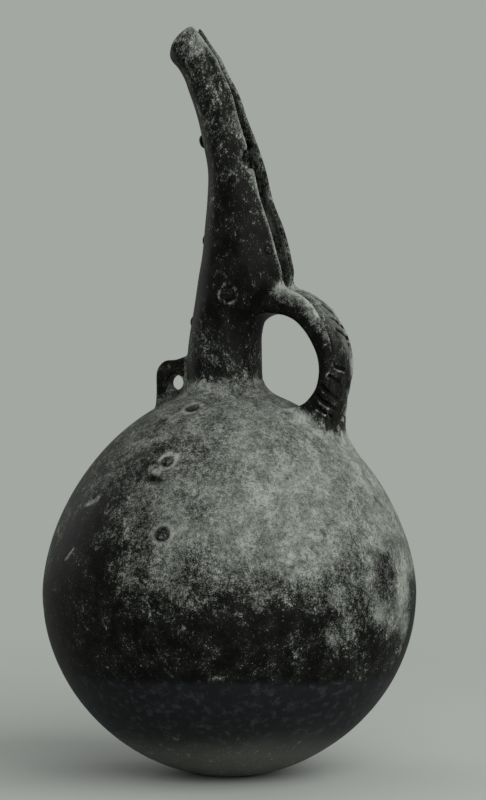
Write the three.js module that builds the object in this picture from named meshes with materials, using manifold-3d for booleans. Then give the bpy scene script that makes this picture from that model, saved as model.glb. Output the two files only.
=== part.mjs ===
// Round-based spouted jug of dark slipped earthenware, built by hand from separately formed clay pieces.
// The jug stands on +Z with its origin under the middle of the body. The handle is at +X and the spout leans to -X.
import * as THREE from 'three';
import { mergeVertices } from 'three/addons/utils/BufferGeometryUtils.js';
import Module from 'manifold-3d';

const wasm = await Module();
wasm.setup();

// Driving sizes in millimetres
const totalHeight = 449; // from the base to the side peaks of the mouth
const bodyRadius = 112; // at the widest place
const widestHeight = 109; // of the widest place above the base
const shoulderRise = 124; // from the widest place to where the shoulder's curve would close
const baseFlatRadius = 15; // worn flat that the jug stands on
const bodyWall = 6;
const baseWall = 8;
const crownWall = 7; // at the top of the shoulder
const seamHeight = 8; // of the bevelled seam between the bowl and the shoulder
const jointGap = 0.3; // slip line between two pieces that touch
const overrun = 5; // how far a cut runs past the clay

// Neck and spout
const neckTopHeight = 289.5; // of the sill at the back of the mouth
const neckRadius = 22.5;
const neckWall = 5;
const neckShift = 3; // of the neck's foot towards the spout
const neckFootRadius = 31; // of the clay smoothed out round the neck's foot
const neckFootRise = 18;
const neckPlugRadius = 20.5; // of the stub that goes down through the shoulder
const spoutReach = 38.4; // of the pouring lip in front of the body's axis
const spoutWall = 4.2;
const slotWidth = 17.8; // widest gap between the two rims of the open spout
const lipDrop = 16.5; // of the pouring lip below the side peaks
const peakInset = 15.9; // of the side peaks behind the pouring lip
const backTrimDepth = 11; // of the sloping trim behind the peaks
const backTrimDrop = 16;
const chipHeight = 11.4; // of the old chip in the near rim
const chipDepth = 4.6;
const chipDrop = 81; // of the chip's middle below the side peaks

// Strap handle
const handleReach = 69.2; // from the body's axis to the middle of the strap, where it stands out most
const handleFootLift = 1.1; // of the strap's line above the shoulder at its foot
const handleWidth = 34;
const handleThickness = 7;
const tenonRadius = 6.5; // of the peg pushed through the shoulder wall
const tenonClench = 3; // how far the peg shows inside
const tenonRoot = 4; // how far the peg is bedded in the handle's foot

// String lug on the spout side
const lugOut = 20.8; // from the neck to the lug's outer face
const lugWidth = 10;
const lugRise = 14; // of its outer top corner above the shoulder's closing point
const lugLeg = 6.6;
const lugCorner = 4;
const lugHoleLength = 10.9;
const lugHoleHeight = 9.4;
const lugHoleRise = 1.8; // of the hole's middle above the shoulder's closing point

// Applied pellets
const pelletRadius = 3.4;

// Outline exponents and counts, which have no unit
const lowerPower = 1.95;
const upperPower = 1.8;
const footFlarePower = 2.2;
const strapPower = 4;
const bodySides = 44;
const bodyCurveSteps = 9;
const stemSides = 28;
const footFlareSteps = 4;
const strapSides = 16;
const holeSides = 16;
const pelletSides = 8;
const pelletRings = 6;

// Worked out from the sizes above
const shoulderTop = widestHeight + shoulderRise;
const stemHeight = totalHeight - shoulderTop;
const lowerDepth = widestHeight / (1 - (baseFlatRadius / bodyRadius) ** lowerPower) ** (1 / lowerPower);

// Neck and spout as one leaning tube. up is a share of stemHeight above the shoulder's closing point, centre a
// share of spoutReach along X, and deep and wide are shares of neckRadius along X and Y.
const stemShares = [
  { up: 0.042, centre: -0.078, deep: 1.0, wide: 1.0 },
  { up: 0.097, centre: -0.078, deep: 0.987, wide: 0.987 },
  { up: 0.144, centre: -0.06, deep: 0.965, wide: 0.965 },
  { up: 0.185, centre: 0, deep: 0.99, wide: 0.975 },
  { up: 0.231, centre: 0.143, deep: 1.155, wide: 1.013 },
  { up: 0.262, centre: 0.247, deep: 1.29, wide: 1.04 },
  { up: 0.296, centre: 0.289, deep: 1.302, wide: 1.058 },
  { up: 0.35, centre: 0.289, deep: 1.2, wide: 1.067 },
  { up: 0.431, centre: 0.25, deep: 1.049, wide: 1.013 },
  { up: 0.514, centre: 0.176, deep: 0.858, wide: 0.853 },
  { up: 0.597, centre: 0.12, deep: 0.76, wide: 0.76 },
  { up: 0.664, centre: 0.023, deep: 0.716, wide: 0.716 },
  { up: 0.741, centre: -0.122, deep: 0.649, wide: 0.649 },
  { up: 0.819, centre: -0.297, deep: 0.636, wide: 0.636 },
  { up: 0.854, centre: -0.393, deep: 0.604, wide: 0.604 },
  { up: 0.884, centre: -0.49, deep: 0.613, wide: 0.613 },
  { up: 0.907, centre: -0.573, deep: 0.667, wide: 0.64 },
  { up: 0.931, centre: -0.641, deep: 0.64, wide: 0.62 },
  { up: 0.972, centre: -0.771, deep: 0.587, wide: 0.587 },
  { up: 1.051, centre: -1.016, deep: 0.578, wide: 0.578 },
];

// Gap between the rims: up is a share of stemHeight, and gap a share of slotWidth.
const slotShares = [
  { up: 0.262, gap: 0.47 },
  { up: 0.282, gap: 0.7 },
  { up: 0.35, gap: 0.97 },
  { up: 0.431, gap: 1 },
  { up: 0.514, gap: 0.88 },
  { up: 0.664, gap: 0.83 },
  { up: 0.741, gap: 0.62 },
  { up: 0.819, gap: 0.45 },
  { up: 0.854, gap: 0.38 },
  { up: 0.931, gap: 0.56 },
  { up: 1.051, gap: 0.56 },
];

// Middle line of the strap: out is a share of handleReach from the axis, up a share of the rise from the handle's
// foot to the neck's top, thick a share of handleThickness and wide a share of handleWidth.
const handleShares = [
  { out: 0.145, up: 0.917, thick: 1.79, wide: 0.59 },
  { out: 0.49, up: 0.92, thick: 1.79, wide: 0.65 },
  { out: 0.636, up: 0.902, thick: 1.76, wide: 0.74 },
  { out: 0.751, up: 0.848, thick: 1.63, wide: 0.85 },
  { out: 0.861, up: 0.746, thick: 1.46, wide: 0.94 },
  { out: 0.942, up: 0.625, thick: 1.26, wide: 1 },
  { out: 0.988, up: 0.507, thick: 1.09, wide: 1 },
  { out: 1, up: 0.382, thick: 1, wide: 0.97 },
  { out: 0.98, up: 0.255, thick: 1.14, wide: 0.94 },
  { out: 0.936, up: 0.134, thick: 1.57, wide: 0.91 },
  { out: 0.867, up: 0.013, thick: 2.14, wide: 0.88 },
  { out: 0.78, up: -0.102, thick: 2.57, wide: 0.85 },
  { out: 0.694, up: -0.191, thick: 2.57, wide: 0.85 },
];

// Middle of the handle's foot on the shoulder, as a share of handleReach
const handleFootShare = 0.845;

// Applied pellets in rows down both flanks and down the front of the neck. up is a share of shoulderRise above the
// widest place on the body, and of stemHeight above the shoulder's closing point on the neck and spout. turn is in
// degrees round the body or the neck from the handle side, size a share of pelletRadius, and proud a share of the
// pellet's own radius.
const bodyPelletRow = [
  { up: 0.89, turn: 94, size: 1.15, proud: 0.51 },
  { up: 0.645, turn: 91, size: 1.03, proud: 0.57 },
  { up: 0.319, turn: 86, size: 1.26, proud: 0.74 },
];
const neckPelletRow = [
  { up: 0.238, turn: 88, size: 1.09, proud: 0.59 },
  { up: 0.563, turn: 78, size: 0.56, proud: 0.63 },
  { up: 0.712, turn: 86, size: 0.76, proud: 0.58 },
  { up: 0.367, turn: 36, size: 0.94, proud: 0.47 },
];
const frontPelletRow = [
  { up: 0.178, turn: 172, size: 1, proud: 0.59 },
  { up: 0.403, turn: 173, size: 1, proud: 0.59 },
  { up: 0.678, turn: 169, size: 1.24, proud: 0.67 },
];

const darkSlip = { color: 0x2b2a28, roughness: 0.55, metalness: 0 };
const speckledSlip = { color: 0x55534e, roughness: 0.7, metalness: 0 };
const wornSlip = { color: 0x3b3936, roughness: 0.6, metalness: 0 };

// A closed geometry as a solid that can be joined and cut
function solid(geometry) {
  const bare = geometry.clone();
  bare.deleteAttribute('normal');
  bare.deleteAttribute('uv');
  const merged = mergeVertices(bare);
  return new wasm.Manifold(new wasm.Mesh({
    numProp: 3,
    vertProperties: merged.attributes.position.array,
    triVerts: new Uint32Array(merged.index.array),
  }));
}

// A solid as a named mesh with its own material
function piece(name, body, finish) {
  const made = body.getMesh();
  const geometry = new THREE.BufferGeometry();
  geometry.setAttribute('position', new THREE.BufferAttribute(made.vertProperties, made.numProp));
  geometry.setIndex(new THREE.BufferAttribute(made.triVerts, 1));
  geometry.computeVertexNormals();
  const mesh = new THREE.Mesh(geometry, new THREE.MeshStandardMaterial(finish));
  mesh.name = name;
  return mesh;
}

// Closed skin over rings with the same number of points, each ring counterclockwise seen from the last one
function loft(rings) {
  const sides = rings[0].length;
  const points = rings.flat();
  const first = points.length;
  const last = first + 1;
  const index = [];
  for (let ring = 0; ring < rings.length - 1; ring += 1) {
    for (let side = 0; side < sides; side += 1) {
      const next = (side + 1) % sides;
      const low = ring * sides;
      const high = low + sides;
      index.push(low + side, low + next, high + next);
      index.push(low + side, high + next, high + side);
    }
  }
  const top = (rings.length - 1) * sides;
  for (let side = 0; side < sides; side += 1) {
    const next = (side + 1) % sides;
    index.push(first, next, side);
    index.push(last, top + side, top + next);
  }
  const middle = (ring) => ring.reduce((sum, point) => sum.add(point), new THREE.Vector3()).divideScalar(sides);
  const all = [...points, middle(rings[0]), middle(rings[rings.length - 1])];
  const geometry = new THREE.BufferGeometry().setFromPoints(all);
  geometry.setIndex(index);
  return geometry;
}

// Solid of revolution about Z from a profile of [radius, height] points that runs up its outside
function turned(profile) {
  const points = profile.map(([radius, height]) => new THREE.Vector2(radius, height));
  return solid(new THREE.LatheGeometry(points, bodySides).rotateX(Math.PI / 2));
}

// Points of a quarter curve from the widest place to the pole, as [radius, distance from the widest level]
function quarterCurve(radius, reach, power) {
  const points = [];
  for (let step = 0; step <= bodyCurveSteps; step += 1) {
    const angle = (step / bodyCurveSteps) * (Math.PI / 2);
    const across = step === bodyCurveSteps ? 0 : radius * Math.cos(angle) ** (2 / power);
    points.push([across, reach * Math.sin(angle) ** (2 / power)]);
  }
  return points;
}

// Radius of the lower or the upper curve at a distance from the widest level, and the other way round
function curveRadius(distance, radius, reach, power) {
  return radius * (1 - (distance / reach) ** power) ** (1 / power);
}
function shoulderHeightAt(radius) {
  return widestHeight + shoulderRise * (1 - (radius / bodyRadius) ** upperPower) ** (1 / upperPower);
}

const halfSeam = seamHeight / 2;
const innerRadius = bodyRadius - bodyWall;
const innerDepth = lowerDepth - baseWall;
const innerRise = shoulderRise - crownWall;

// Lower half of the body, a round bowl with a bevelled rim
function baseBowl() {
  const outside = quarterCurve(bodyRadius, lowerDepth, lowerPower)
    .map(([radius, down]) => [radius, widestHeight - down])
    .filter(([radius, height]) => height > 0 && radius > baseFlatRadius && height < widestHeight - halfSeam)
    .reverse();
  const inside = quarterCurve(innerRadius, innerDepth, lowerPower)
    .map(([radius, down]) => [radius, widestHeight - down]);
  return turned([
    [0, 0],
    [baseFlatRadius, 0],
    ...outside,
    [curveRadius(halfSeam, bodyRadius, lowerDepth, lowerPower), widestHeight - halfSeam],
    [curveRadius(halfSeam, innerRadius, innerRise, upperPower), widestHeight + halfSeam],
    ...inside,
  ]);
}

// Upper half of the body as a shell that laps over the bowl's rim. grow makes it thicker on every side.
function shoulderShell(grow) {
  const seamTop = halfSeam + jointGap;
  const seamLow = halfSeam - jointGap;
  const open = ([radius]) => radius > neckPlugRadius / 2;
  const outside = quarterCurve(bodyRadius + grow, shoulderRise + grow, upperPower)
    .map(([radius, rise]) => [radius, widestHeight + rise])
    .filter(open);
  const inside = quarterCurve(innerRadius - grow, innerRise - grow, upperPower)
    .map(([radius, rise]) => [radius, widestHeight + rise])
    .filter(open)
    .filter(([, height]) => height > widestHeight + seamTop)
    .reverse();
  const low = [curveRadius(seamLow, bodyRadius + grow, lowerDepth, lowerPower), widestHeight - seamLow];
  const high = [curveRadius(seamTop, innerRadius - grow, innerRise, upperPower), widestHeight + seamTop];
  const shell = turned([low, ...outside, ...inside, high, low]);
  const opening = new THREE.CylinderGeometry(
    neckPlugRadius + jointGap - grow,
    neckPlugRadius + jointGap - grow,
    shoulderRise,
    stemSides,
  );
  opening.rotateX(Math.PI / 2).translate(-neckShift, 0, shoulderTop);
  return shell.subtract(solid(opening));
}

// Whole body above its widest place with no hollow, for cutting what is set on it
function shoulderFilled(grow) {
  const outside = quarterCurve(bodyRadius + grow, shoulderRise + grow, upperPower)
    .map(([radius, rise]) => [radius, widestHeight + rise]);
  return turned([[0, widestHeight], ...outside]);
}

// Value of a table's column at a height share, straight between its rows
function between(table, up, column) {
  const after = table.findIndex((row) => row.up > up);
  if (after === 0) return table[0][column];
  if (after < 0) return table[table.length - 1][column];
  const [low, high] = [table[after - 1], table[after]];
  return THREE.MathUtils.mapLinear(up, low.up, high.up, low[column], high[column]);
}

// Middle and half sizes of the neck and spout at a height
function stemAt(height) {
  const up = (height - shoulderTop) / stemHeight;
  return {
    height,
    centre: between(stemShares, up, 'centre') * spoutReach,
    deep: between(stemShares, up, 'deep') * neckRadius,
    wide: between(stemShares, up, 'wide') * neckRadius,
  };
}

// Point on the outside of the neck or spout at a turn in radians
function stemPoint(row, turn, grow) {
  return new THREE.Vector3(
    row.centre + (row.deep + grow) * Math.cos(turn),
    (row.wide + grow) * Math.sin(turn),
    row.height,
  );
}

function stemRing(row, grow) {
  return Array.from({ length: stemSides }, (_, side) => stemPoint(row, (side / stemSides) * 2 * Math.PI, grow));
}

// Heights of the table's rows between two heights, with both ends
function stemHeights(low, high) {
  const rows = stemShares.map((row) => shoulderTop + row.up * stemHeight);
  return [low, ...rows.filter((height) => height > low + overrun / 2 && height < high - overrun / 2), high];
}

const stemTop = shoulderTop + stemShares[stemShares.length - 1].up * stemHeight;
const footBase = shoulderHeightAt(neckFootRadius) - bodyWall / 3;
const footTop = footBase + neckFootRise;
const plugBottom = footBase - bodyWall;

// Rings of the neck's flared foot
function footRings(grow) {
  const rings = [];
  for (let step = 0; step < footFlareSteps; step += 1) {
    const share = step / footFlareSteps;
    const height = footBase + share * neckFootRise;
    const flare = (neckFootRadius - neckRadius) * (1 - share) ** footFlarePower;
    const row = { height, centre: -neckShift, deep: neckRadius + flare, wide: neckRadius + flare };
    rings.push(stemRing(row, grow));
  }
  return rings;
}

// Neck and spout up to a height with no bore, standing on the flared foot
function stemFilled(high, grow) {
  return solid(loft([
    ...footRings(grow),
    ...stemHeights(footTop, high).map((height) => stemRing(stemAt(height), grow)),
  ]));
}

// Round stub below the foot that goes through the shoulder
function neckPlug() {
  const plug = new THREE.CylinderGeometry(
    neckPlugRadius,
    neckPlugRadius,
    footBase + overrun - plugBottom,
    stemSides,
  );
  return solid(plug.rotateX(Math.PI / 2).translate(-neckShift, 0, (footBase + overrun + plugBottom) / 2));
}

function stemBore(low, high, wall) {
  const start = { ...stemAt(footTop), height: low };
  const below = low < footTop ? [stemRing(start, -wall)] : [];
  const from = Math.max(low, footTop);
  const rings = stemHeights(from, high).map((height) => stemRing(stemAt(height), -wall));
  return solid(loft([...below, ...rings]));
}

function neckTube() {
  return stemFilled(neckTopHeight, 0)
    .add(neckPlug())
    .subtract(stemBore(plugBottom - overrun, neckTopHeight + overrun, neckWall))
    .subtract(shoulderShell(jointGap));
}

// Long gap at the back of the spout, widening and narrowing as the rims do
function slotCutter() {
  const rings = slotShares.map(({ up, gap }, row) => {
    const height = shoulderTop + up * stemHeight - (row === 0 ? overrun : 0);
    const { centre, deep } = stemAt(height);
    const half = (gap * slotWidth) / 2;
    const far = centre + deep + overrun;
    return [
      new THREE.Vector3(centre, -half, height),
      new THREE.Vector3(far, -half, height),
      new THREE.Vector3(far, half, height),
      new THREE.Vector3(centre, half, height),
    ];
  });
  return solid(loft(rings));
}

// Everything above the two sloping trims of the mouth, as a side outline run across the spout
function mouthCutter() {
  const lip = new THREE.Vector2(-spoutReach, totalHeight - lipDrop);
  const peak = new THREE.Vector2(-spoutReach + peakInset, totalHeight);
  const back = new THREE.Vector2(peak.x + backTrimDepth, totalHeight - backTrimDrop);
  const front = lip.clone().add(lip.clone().sub(peak));
  const behind = back.clone().add(back.clone().sub(peak));
  const sky = stemTop + neckRadius;
  const outline = new THREE.Shape([
    peak,
    behind,
    new THREE.Vector2(behind.x, sky),
    new THREE.Vector2(front.x, sky),
    front,
  ]);
  const across = 2 * neckRadius;
  const cut = new THREE.ExtrudeGeometry(outline, { depth: across, bevelEnabled: false });
  return solid(cut.rotateX(Math.PI / 2).translate(0, across / 2, 0));
}

// Old chip broken out of the near rim
function chipCutter() {
  const middle = totalHeight - chipDrop;
  const { centre, deep } = stemAt(middle);
  const up = (middle - shoulderTop) / stemHeight;
  const rim = (between(slotShares, up, 'gap') * slotWidth) / 2;
  const radius = chipHeight / 2;
  const length = deep + overrun;
  const cut = new THREE.CylinderGeometry(radius, radius, length, pelletSides).rotateZ(Math.PI / 2);
  return solid(cut.translate(centre + length / 2, -(rim + chipDepth - radius), middle));
}

function openSpout() {
  const low = neckTopHeight + jointGap;
  const outside = solid(loft(stemHeights(low, stemTop).map((height) => stemRing(stemAt(height), 0))));
  return outside
    .subtract(stemBore(low - overrun, stemTop + overrun, spoutWall))
    .subtract(slotCutter())
    .subtract(mouthCutter())
    .subtract(chipCutter());
}

// Body and neck with no hollow, grown by the joint gap: what is set on the jug is cut back to this
const seat = shoulderFilled(jointGap).add(stemFilled(stemTop, jointGap));

// Strap section across the handle's line, a rectangle with well rounded corners
function strapRing(middle, travel, halfWidth, halfThickness) {
  const across = new THREE.Vector3(0, 1, 0);
  const outward = new THREE.Vector3().crossVectors(travel, across);
  const round = (value) => Math.sign(value) * Math.abs(value) ** (2 / strapPower);
  return Array.from({ length: strapSides }, (_, side) => {
    const angle = ((side + 0.5) / strapSides) * 2 * Math.PI;
    return middle.clone()
      .addScaledVector(across, round(Math.cos(angle)) * halfWidth)
      .addScaledVector(outward, round(Math.sin(angle)) * halfThickness);
  });
}

// Middle of the handle's foot on the shoulder and the way out from the wall there
function footSeat() {
  const radius = handleFootShare * handleReach;
  const height = shoulderHeightAt(radius);
  const outward = new THREE.Vector3(
    (radius / bodyRadius) ** (upperPower - 1) / bodyRadius,
    0,
    ((height - widestHeight) / shoulderRise) ** (upperPower - 1) / shoulderRise,
  );
  return { point: new THREE.Vector3(radius, 0, height), outward: outward.normalize() };
}

// Round peg square to the shoulder wall, from inside the handle's foot to inside the body
function tenon(grow) {
  const { point, outward } = footSeat();
  const inward = bodyWall + tenonClench + grow;
  const length = inward + tenonRoot;
  const peg = new THREE.CylinderGeometry(tenonRadius + grow, tenonRadius + grow, length, holeSides);
  peg.applyQuaternion(new THREE.Quaternion().setFromUnitVectors(new THREE.Vector3(0, 1, 0), outward));
  const middle = point.clone().addScaledVector(outward, tenonRoot - length / 2);
  return solid(peg.translate(middle.x, middle.y, middle.z));
}

function strapHandle() {
  const foot = footSeat().point.z + handleFootLift;
  const rise = neckTopHeight - foot;
  const line = handleShares.map(({ out, up }) => new THREE.Vector3(out * handleReach, 0, foot + up * rise));
  const rings = handleShares.map(({ thick, wide }, row) => {
    const before = line[Math.max(row - 1, 0)];
    const after = line[Math.min(row + 1, line.length - 1)];
    const travel = after.clone().sub(before).normalize();
    return strapRing(line[row], travel, (wide * handleWidth) / 2, (thick * handleThickness) / 2);
  });
  return solid(loft(rings)).subtract(seat).add(tenon(0));
}

function shoulderDome() {
  return shoulderShell(0).subtract(tenon(jointGap));
}

// Small pierced lug for a carrying string, set in the corner between neck and shoulder
function stringLug() {
  const top = shoulderTop + lugRise;
  const neckFace = stemAt(top).centre - stemAt(top).deep;
  const outer = neckFace - lugOut;
  const low = shoulderHeightAt(-outer) - bodyWall;
  const outline = new THREE.Shape();
  outline.moveTo(outer, low);
  outline.lineTo(-neckShift, low);
  outline.lineTo(-neckShift, top + lugCorner);
  outline.lineTo(neckFace, top + lugCorner);
  outline.lineTo(outer + lugCorner, top);
  outline.quadraticCurveTo(outer, top, outer, top - lugCorner);
  const hole = new THREE.Path();
  const holeX = outer + lugLeg + lugHoleLength / 2;
  hole.absellipse(holeX, shoulderTop + lugHoleRise, lugHoleLength / 2, lugHoleHeight / 2, 0, 2 * Math.PI, true);
  outline.holes.push(hole);
  const slab = new THREE.ExtrudeGeometry(outline, {
    depth: lugWidth,
    bevelEnabled: false,
    curveSegments: holeSides / 4,
  });
  return solid(slab.rotateX(Math.PI / 2).translate(0, lugWidth / 2, 0)).subtract(seat);
}

// Flattened ball of clay whose inner half is cut away by the wall it sits on
function pellet(middle, outward, radius, proud) {
  const ball = new THREE.SphereGeometry(radius, pelletSides, pelletRings).scale(1, proud, 1);
  ball.applyQuaternion(new THREE.Quaternion().setFromUnitVectors(new THREE.Vector3(0, 1, 0), outward));
  return solid(ball.translate(middle.x, middle.y, middle.z)).subtract(seat);
}

function bodyPellet({ up, turn, size, proud }, side) {
  const angle = side * THREE.MathUtils.degToRad(turn);
  const rise = up * shoulderRise;
  const across = curveRadius(rise, bodyRadius, shoulderRise, upperPower);
  const slope = new THREE.Vector2(
    (across / bodyRadius) ** (upperPower - 1) / bodyRadius,
    (rise / shoulderRise) ** (upperPower - 1) / shoulderRise,
  ).normalize();
  const outward = new THREE.Vector3(slope.x * Math.cos(angle), slope.x * Math.sin(angle), slope.y);
  const middle = new THREE.Vector3(across * Math.cos(angle), across * Math.sin(angle), widestHeight + rise);
  return pellet(middle, outward, size * pelletRadius, proud);
}

function stemPellet({ up, turn, size, proud }, side) {
  const angle = side * THREE.MathUtils.degToRad(turn);
  const height = shoulderTop + up * stemHeight;
  const radius = size * pelletRadius;
  const above = stemPoint(stemAt(height + radius), angle, 0);
  const below = stemPoint(stemAt(height - radius), angle, 0);
  const row = stemAt(height);
  const around = new THREE.Vector3(-row.deep * Math.sin(angle), row.wide * Math.cos(angle), 0);
  const outward = new THREE.Vector3().crossVectors(around, above.sub(below)).normalize();
  return pellet(stemPoint(row, angle, 0), outward, radius, proud);
}

const jug = new THREE.Group();
jug.add(piece('base_bowl', baseBowl(), darkSlip));
jug.add(piece('shoulder_dome', shoulderDome(), speckledSlip));
jug.add(piece('neck_tube', neckTube(), darkSlip));
jug.add(piece('open_spout', openSpout(), darkSlip));
jug.add(piece('strap_handle', strapHandle(), wornSlip));
jug.add(piece('string_lug', stringLug(), wornSlip));

const flanks = { near: -1, far: 1 };
for (const [flank, side] of Object.entries(flanks)) {
  bodyPelletRow.forEach((row, place) => {
    jug.add(piece(`body_pellet_${flank}_${place + 1}`, bodyPellet(row, side), darkSlip));
  });
  neckPelletRow.forEach((row, place) => {
    jug.add(piece(`neck_pellet_${flank}_${place + 1}`, stemPellet(row, side), darkSlip));
  });
}
frontPelletRow.forEach((row, place) => {
  jug.add(piece(`front_pellet_${place + 1}`, stemPellet(row, flanks.near), darkSlip));
});

export default jug;
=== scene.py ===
"""Round-bodied earthenware jug with a long open spout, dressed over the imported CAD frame.

Lengths are in millimetres until a mesh is made, and Blender's own units are metres. The handle is at +X,
the spout leans to -X, and the side that the picture shows is the one towards -Y.
"""
import logging
import math
from dataclasses import dataclass, field
from enum import Enum
from functools import partial
from typing import Callable, Optional, Sequence

import bpy
import numpy as np
from bpy.types import Material, Mesh, Node, NodeSocket, NodeTree, Object
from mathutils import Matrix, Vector


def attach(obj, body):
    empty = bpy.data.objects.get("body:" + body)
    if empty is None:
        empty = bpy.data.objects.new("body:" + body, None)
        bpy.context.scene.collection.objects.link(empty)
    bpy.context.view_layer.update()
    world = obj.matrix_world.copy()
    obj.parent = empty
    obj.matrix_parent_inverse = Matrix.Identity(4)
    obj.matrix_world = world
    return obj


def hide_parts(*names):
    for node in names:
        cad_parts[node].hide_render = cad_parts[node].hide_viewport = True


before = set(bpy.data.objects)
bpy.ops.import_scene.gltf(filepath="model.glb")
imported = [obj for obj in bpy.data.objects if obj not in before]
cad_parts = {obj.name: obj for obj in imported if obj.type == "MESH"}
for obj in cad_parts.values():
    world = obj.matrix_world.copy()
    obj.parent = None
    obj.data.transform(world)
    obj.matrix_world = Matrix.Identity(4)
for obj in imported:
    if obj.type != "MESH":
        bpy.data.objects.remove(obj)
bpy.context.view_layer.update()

MM = 0.001
VIEW_TURN = math.radians(25)
# Measured on the picture: column of the body's axis, row of its base, and millimetres to a pixel.
AXIS_COLUMN = 229.5
BASE_ROW = 773.5
PIXEL = 0.6
# Share of a fillet's reach at which a piece ends, just short of where the fillet has run out.
SKIRT_END = 0.98
LOG = logging.getLogger("jug")

Array = np.ndarray
Corner = tuple[float, float, float]
Field = Callable[[Array], Array]


class Slot(Enum):
    """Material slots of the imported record."""

    DARK = "dark_burnished_slip"
    LIME = "lime_speckled_slip"
    WORN = "worn_burnished_slip"


# Small numeric tools


def smooth_max(a: Array, b: Array, k: float) -> Array:
    """Larger of two fields with the crease between them rounded.

    Args:
        a: First field in millimetres.
        b: Second field in millimetres.
        k: Reach of the rounding in millimetres.

    Returns:
        The rounded maximum.
    """
    near = np.maximum(k - np.abs(a - b), 0) / k
    return np.maximum(a, b) + near * near * k * 0.25


def smooth_min(a: Array, b: Array, k: float) -> Array:
    """Smaller of two fields with a fillet of reach k between them."""
    return -smooth_max(-a, -b, k)


def ramp(low: float, high: float, value: Array) -> Array:
    """Smooth step from 0 at low to 1 at high."""
    share = np.clip((value - low) / (high - low), 0, 1)
    return share * share * (3 - 2 * share)


def bell(distance: Array, width: float) -> Array:
    """Rounded bump of height 1 that fades over a width."""
    return np.exp(-((distance / width) ** 2))


def patch(points: Array, centre: Corner, spread: Corner) -> Array:
    """Bump of height 1 round a centre, with a width of its own along each axis."""
    return bell(np.linalg.norm((points - centre) / spread, axis=1), 1.0)


def unit(rows: Array) -> Array:
    """Rows brought to length 1."""
    return rows / np.linalg.norm(rows, axis=1)[:, None]


def line_gap(points: Array, start: Array, end: Array) -> Array:
    """Distance of each place from the straight line between two ends, in millimetres.

    Args:
        points: Places in millimetres, one row each.
        start: One end of the line.
        end: Its other end.

    Returns:
        One distance for each row.
    """
    run = end - start
    share = np.clip((points - start) @ run / (run @ run), 0, 1)
    return np.linalg.norm(points - start - share[:, None] * run, axis=1)


def rightward(points: Array) -> Array:
    """Distance of each place to the right of the axis in the picture, in millimetres."""
    return points[:, 0] * math.cos(VIEW_TURN) + points[:, 1] * math.sin(VIEW_TURN)


class SmoothTable:
    """Values measured at a few stations, joined by one smooth curve."""

    def __init__(self, stations: Sequence[float], values: Sequence[float], steps: int = 600) -> None:
        """Makes the fine table.

        Args:
            stations: Rising stations.
            values: Value at each station.
            steps: Rows of the fine table.
        """
        x = np.array(stations, float)
        y = np.array(values, float)
        slope = np.gradient(y, x)
        self.at = np.linspace(x[0], x[-1], steps)
        place = np.clip(np.searchsorted(x, self.at, side="right") - 1, 0, len(x) - 2)
        span = x[place + 1] - x[place]
        t = (self.at - x[place]) / span
        self.values = (
            (2 * t**3 - 3 * t**2 + 1) * y[place]
            + (t**3 - 2 * t**2 + t) * span * slope[place]
            + (3 * t**2 - 2 * t**3) * y[place + 1]
            + (t**3 - t**2) * span * slope[place + 1]
        )
        self.slopes = np.gradient(self.values, self.at)

    def __call__(self, station: Array) -> Array:
        """Value at each station."""
        return np.interp(station, self.at, self.values)

    def slope(self, station: Array) -> Array:
        """Slope at each station."""
        return np.interp(station, self.at, self.slopes)


class HandNoise:
    """Seeded lattice noise for the slow unevenness that hands and fire leave."""

    SIDE = 32

    def __init__(self, seed: int) -> None:
        """Fills the lattice from the seed."""
        self.lattice = np.random.default_rng(seed).random((self.SIDE,) * 3)

    def __call__(self, points: Array, size: float | Corner) -> Array:
        """Noise from -1 to 1.

        Args:
            points: Places in millimetres, one row each.
            size: Width of a blotch in millimetres, or its widths along X, Y and Z.

        Returns:
            One value for each row.
        """
        scaled = points / np.array(size, float)
        cell = np.floor(scaled).astype(int)
        share = scaled - cell
        share = share * share * (3 - 2 * share)
        total = np.zeros(len(points))
        for corner in range(8):
            step = np.array([corner & 1, corner >> 1 & 1, corner >> 2 & 1])
            weight = np.prod(np.where(step, share, 1 - share), axis=1)
            i, j, k = ((cell + step) % self.SIDE).T
            total += weight * self.lattice[i, j, k]
        return total * 2 - 1

    def layers(self, points: Array, size: float, count: int) -> Array:
        """Sum of finer and finer layers of the noise, from about -1 to 1.

        Args:
            points: Places in millimetres, one row each.
            size: Width of the coarsest blotches in millimetres.
            count: Number of layers.

        Returns:
            One value for each row.
        """
        total = np.zeros(len(points))
        for layer in range(count):
            total += self(points + 17.3 * layer, size / 2**layer) / 2**layer
        return total / 1.5


# Forms that several pieces share


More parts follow.
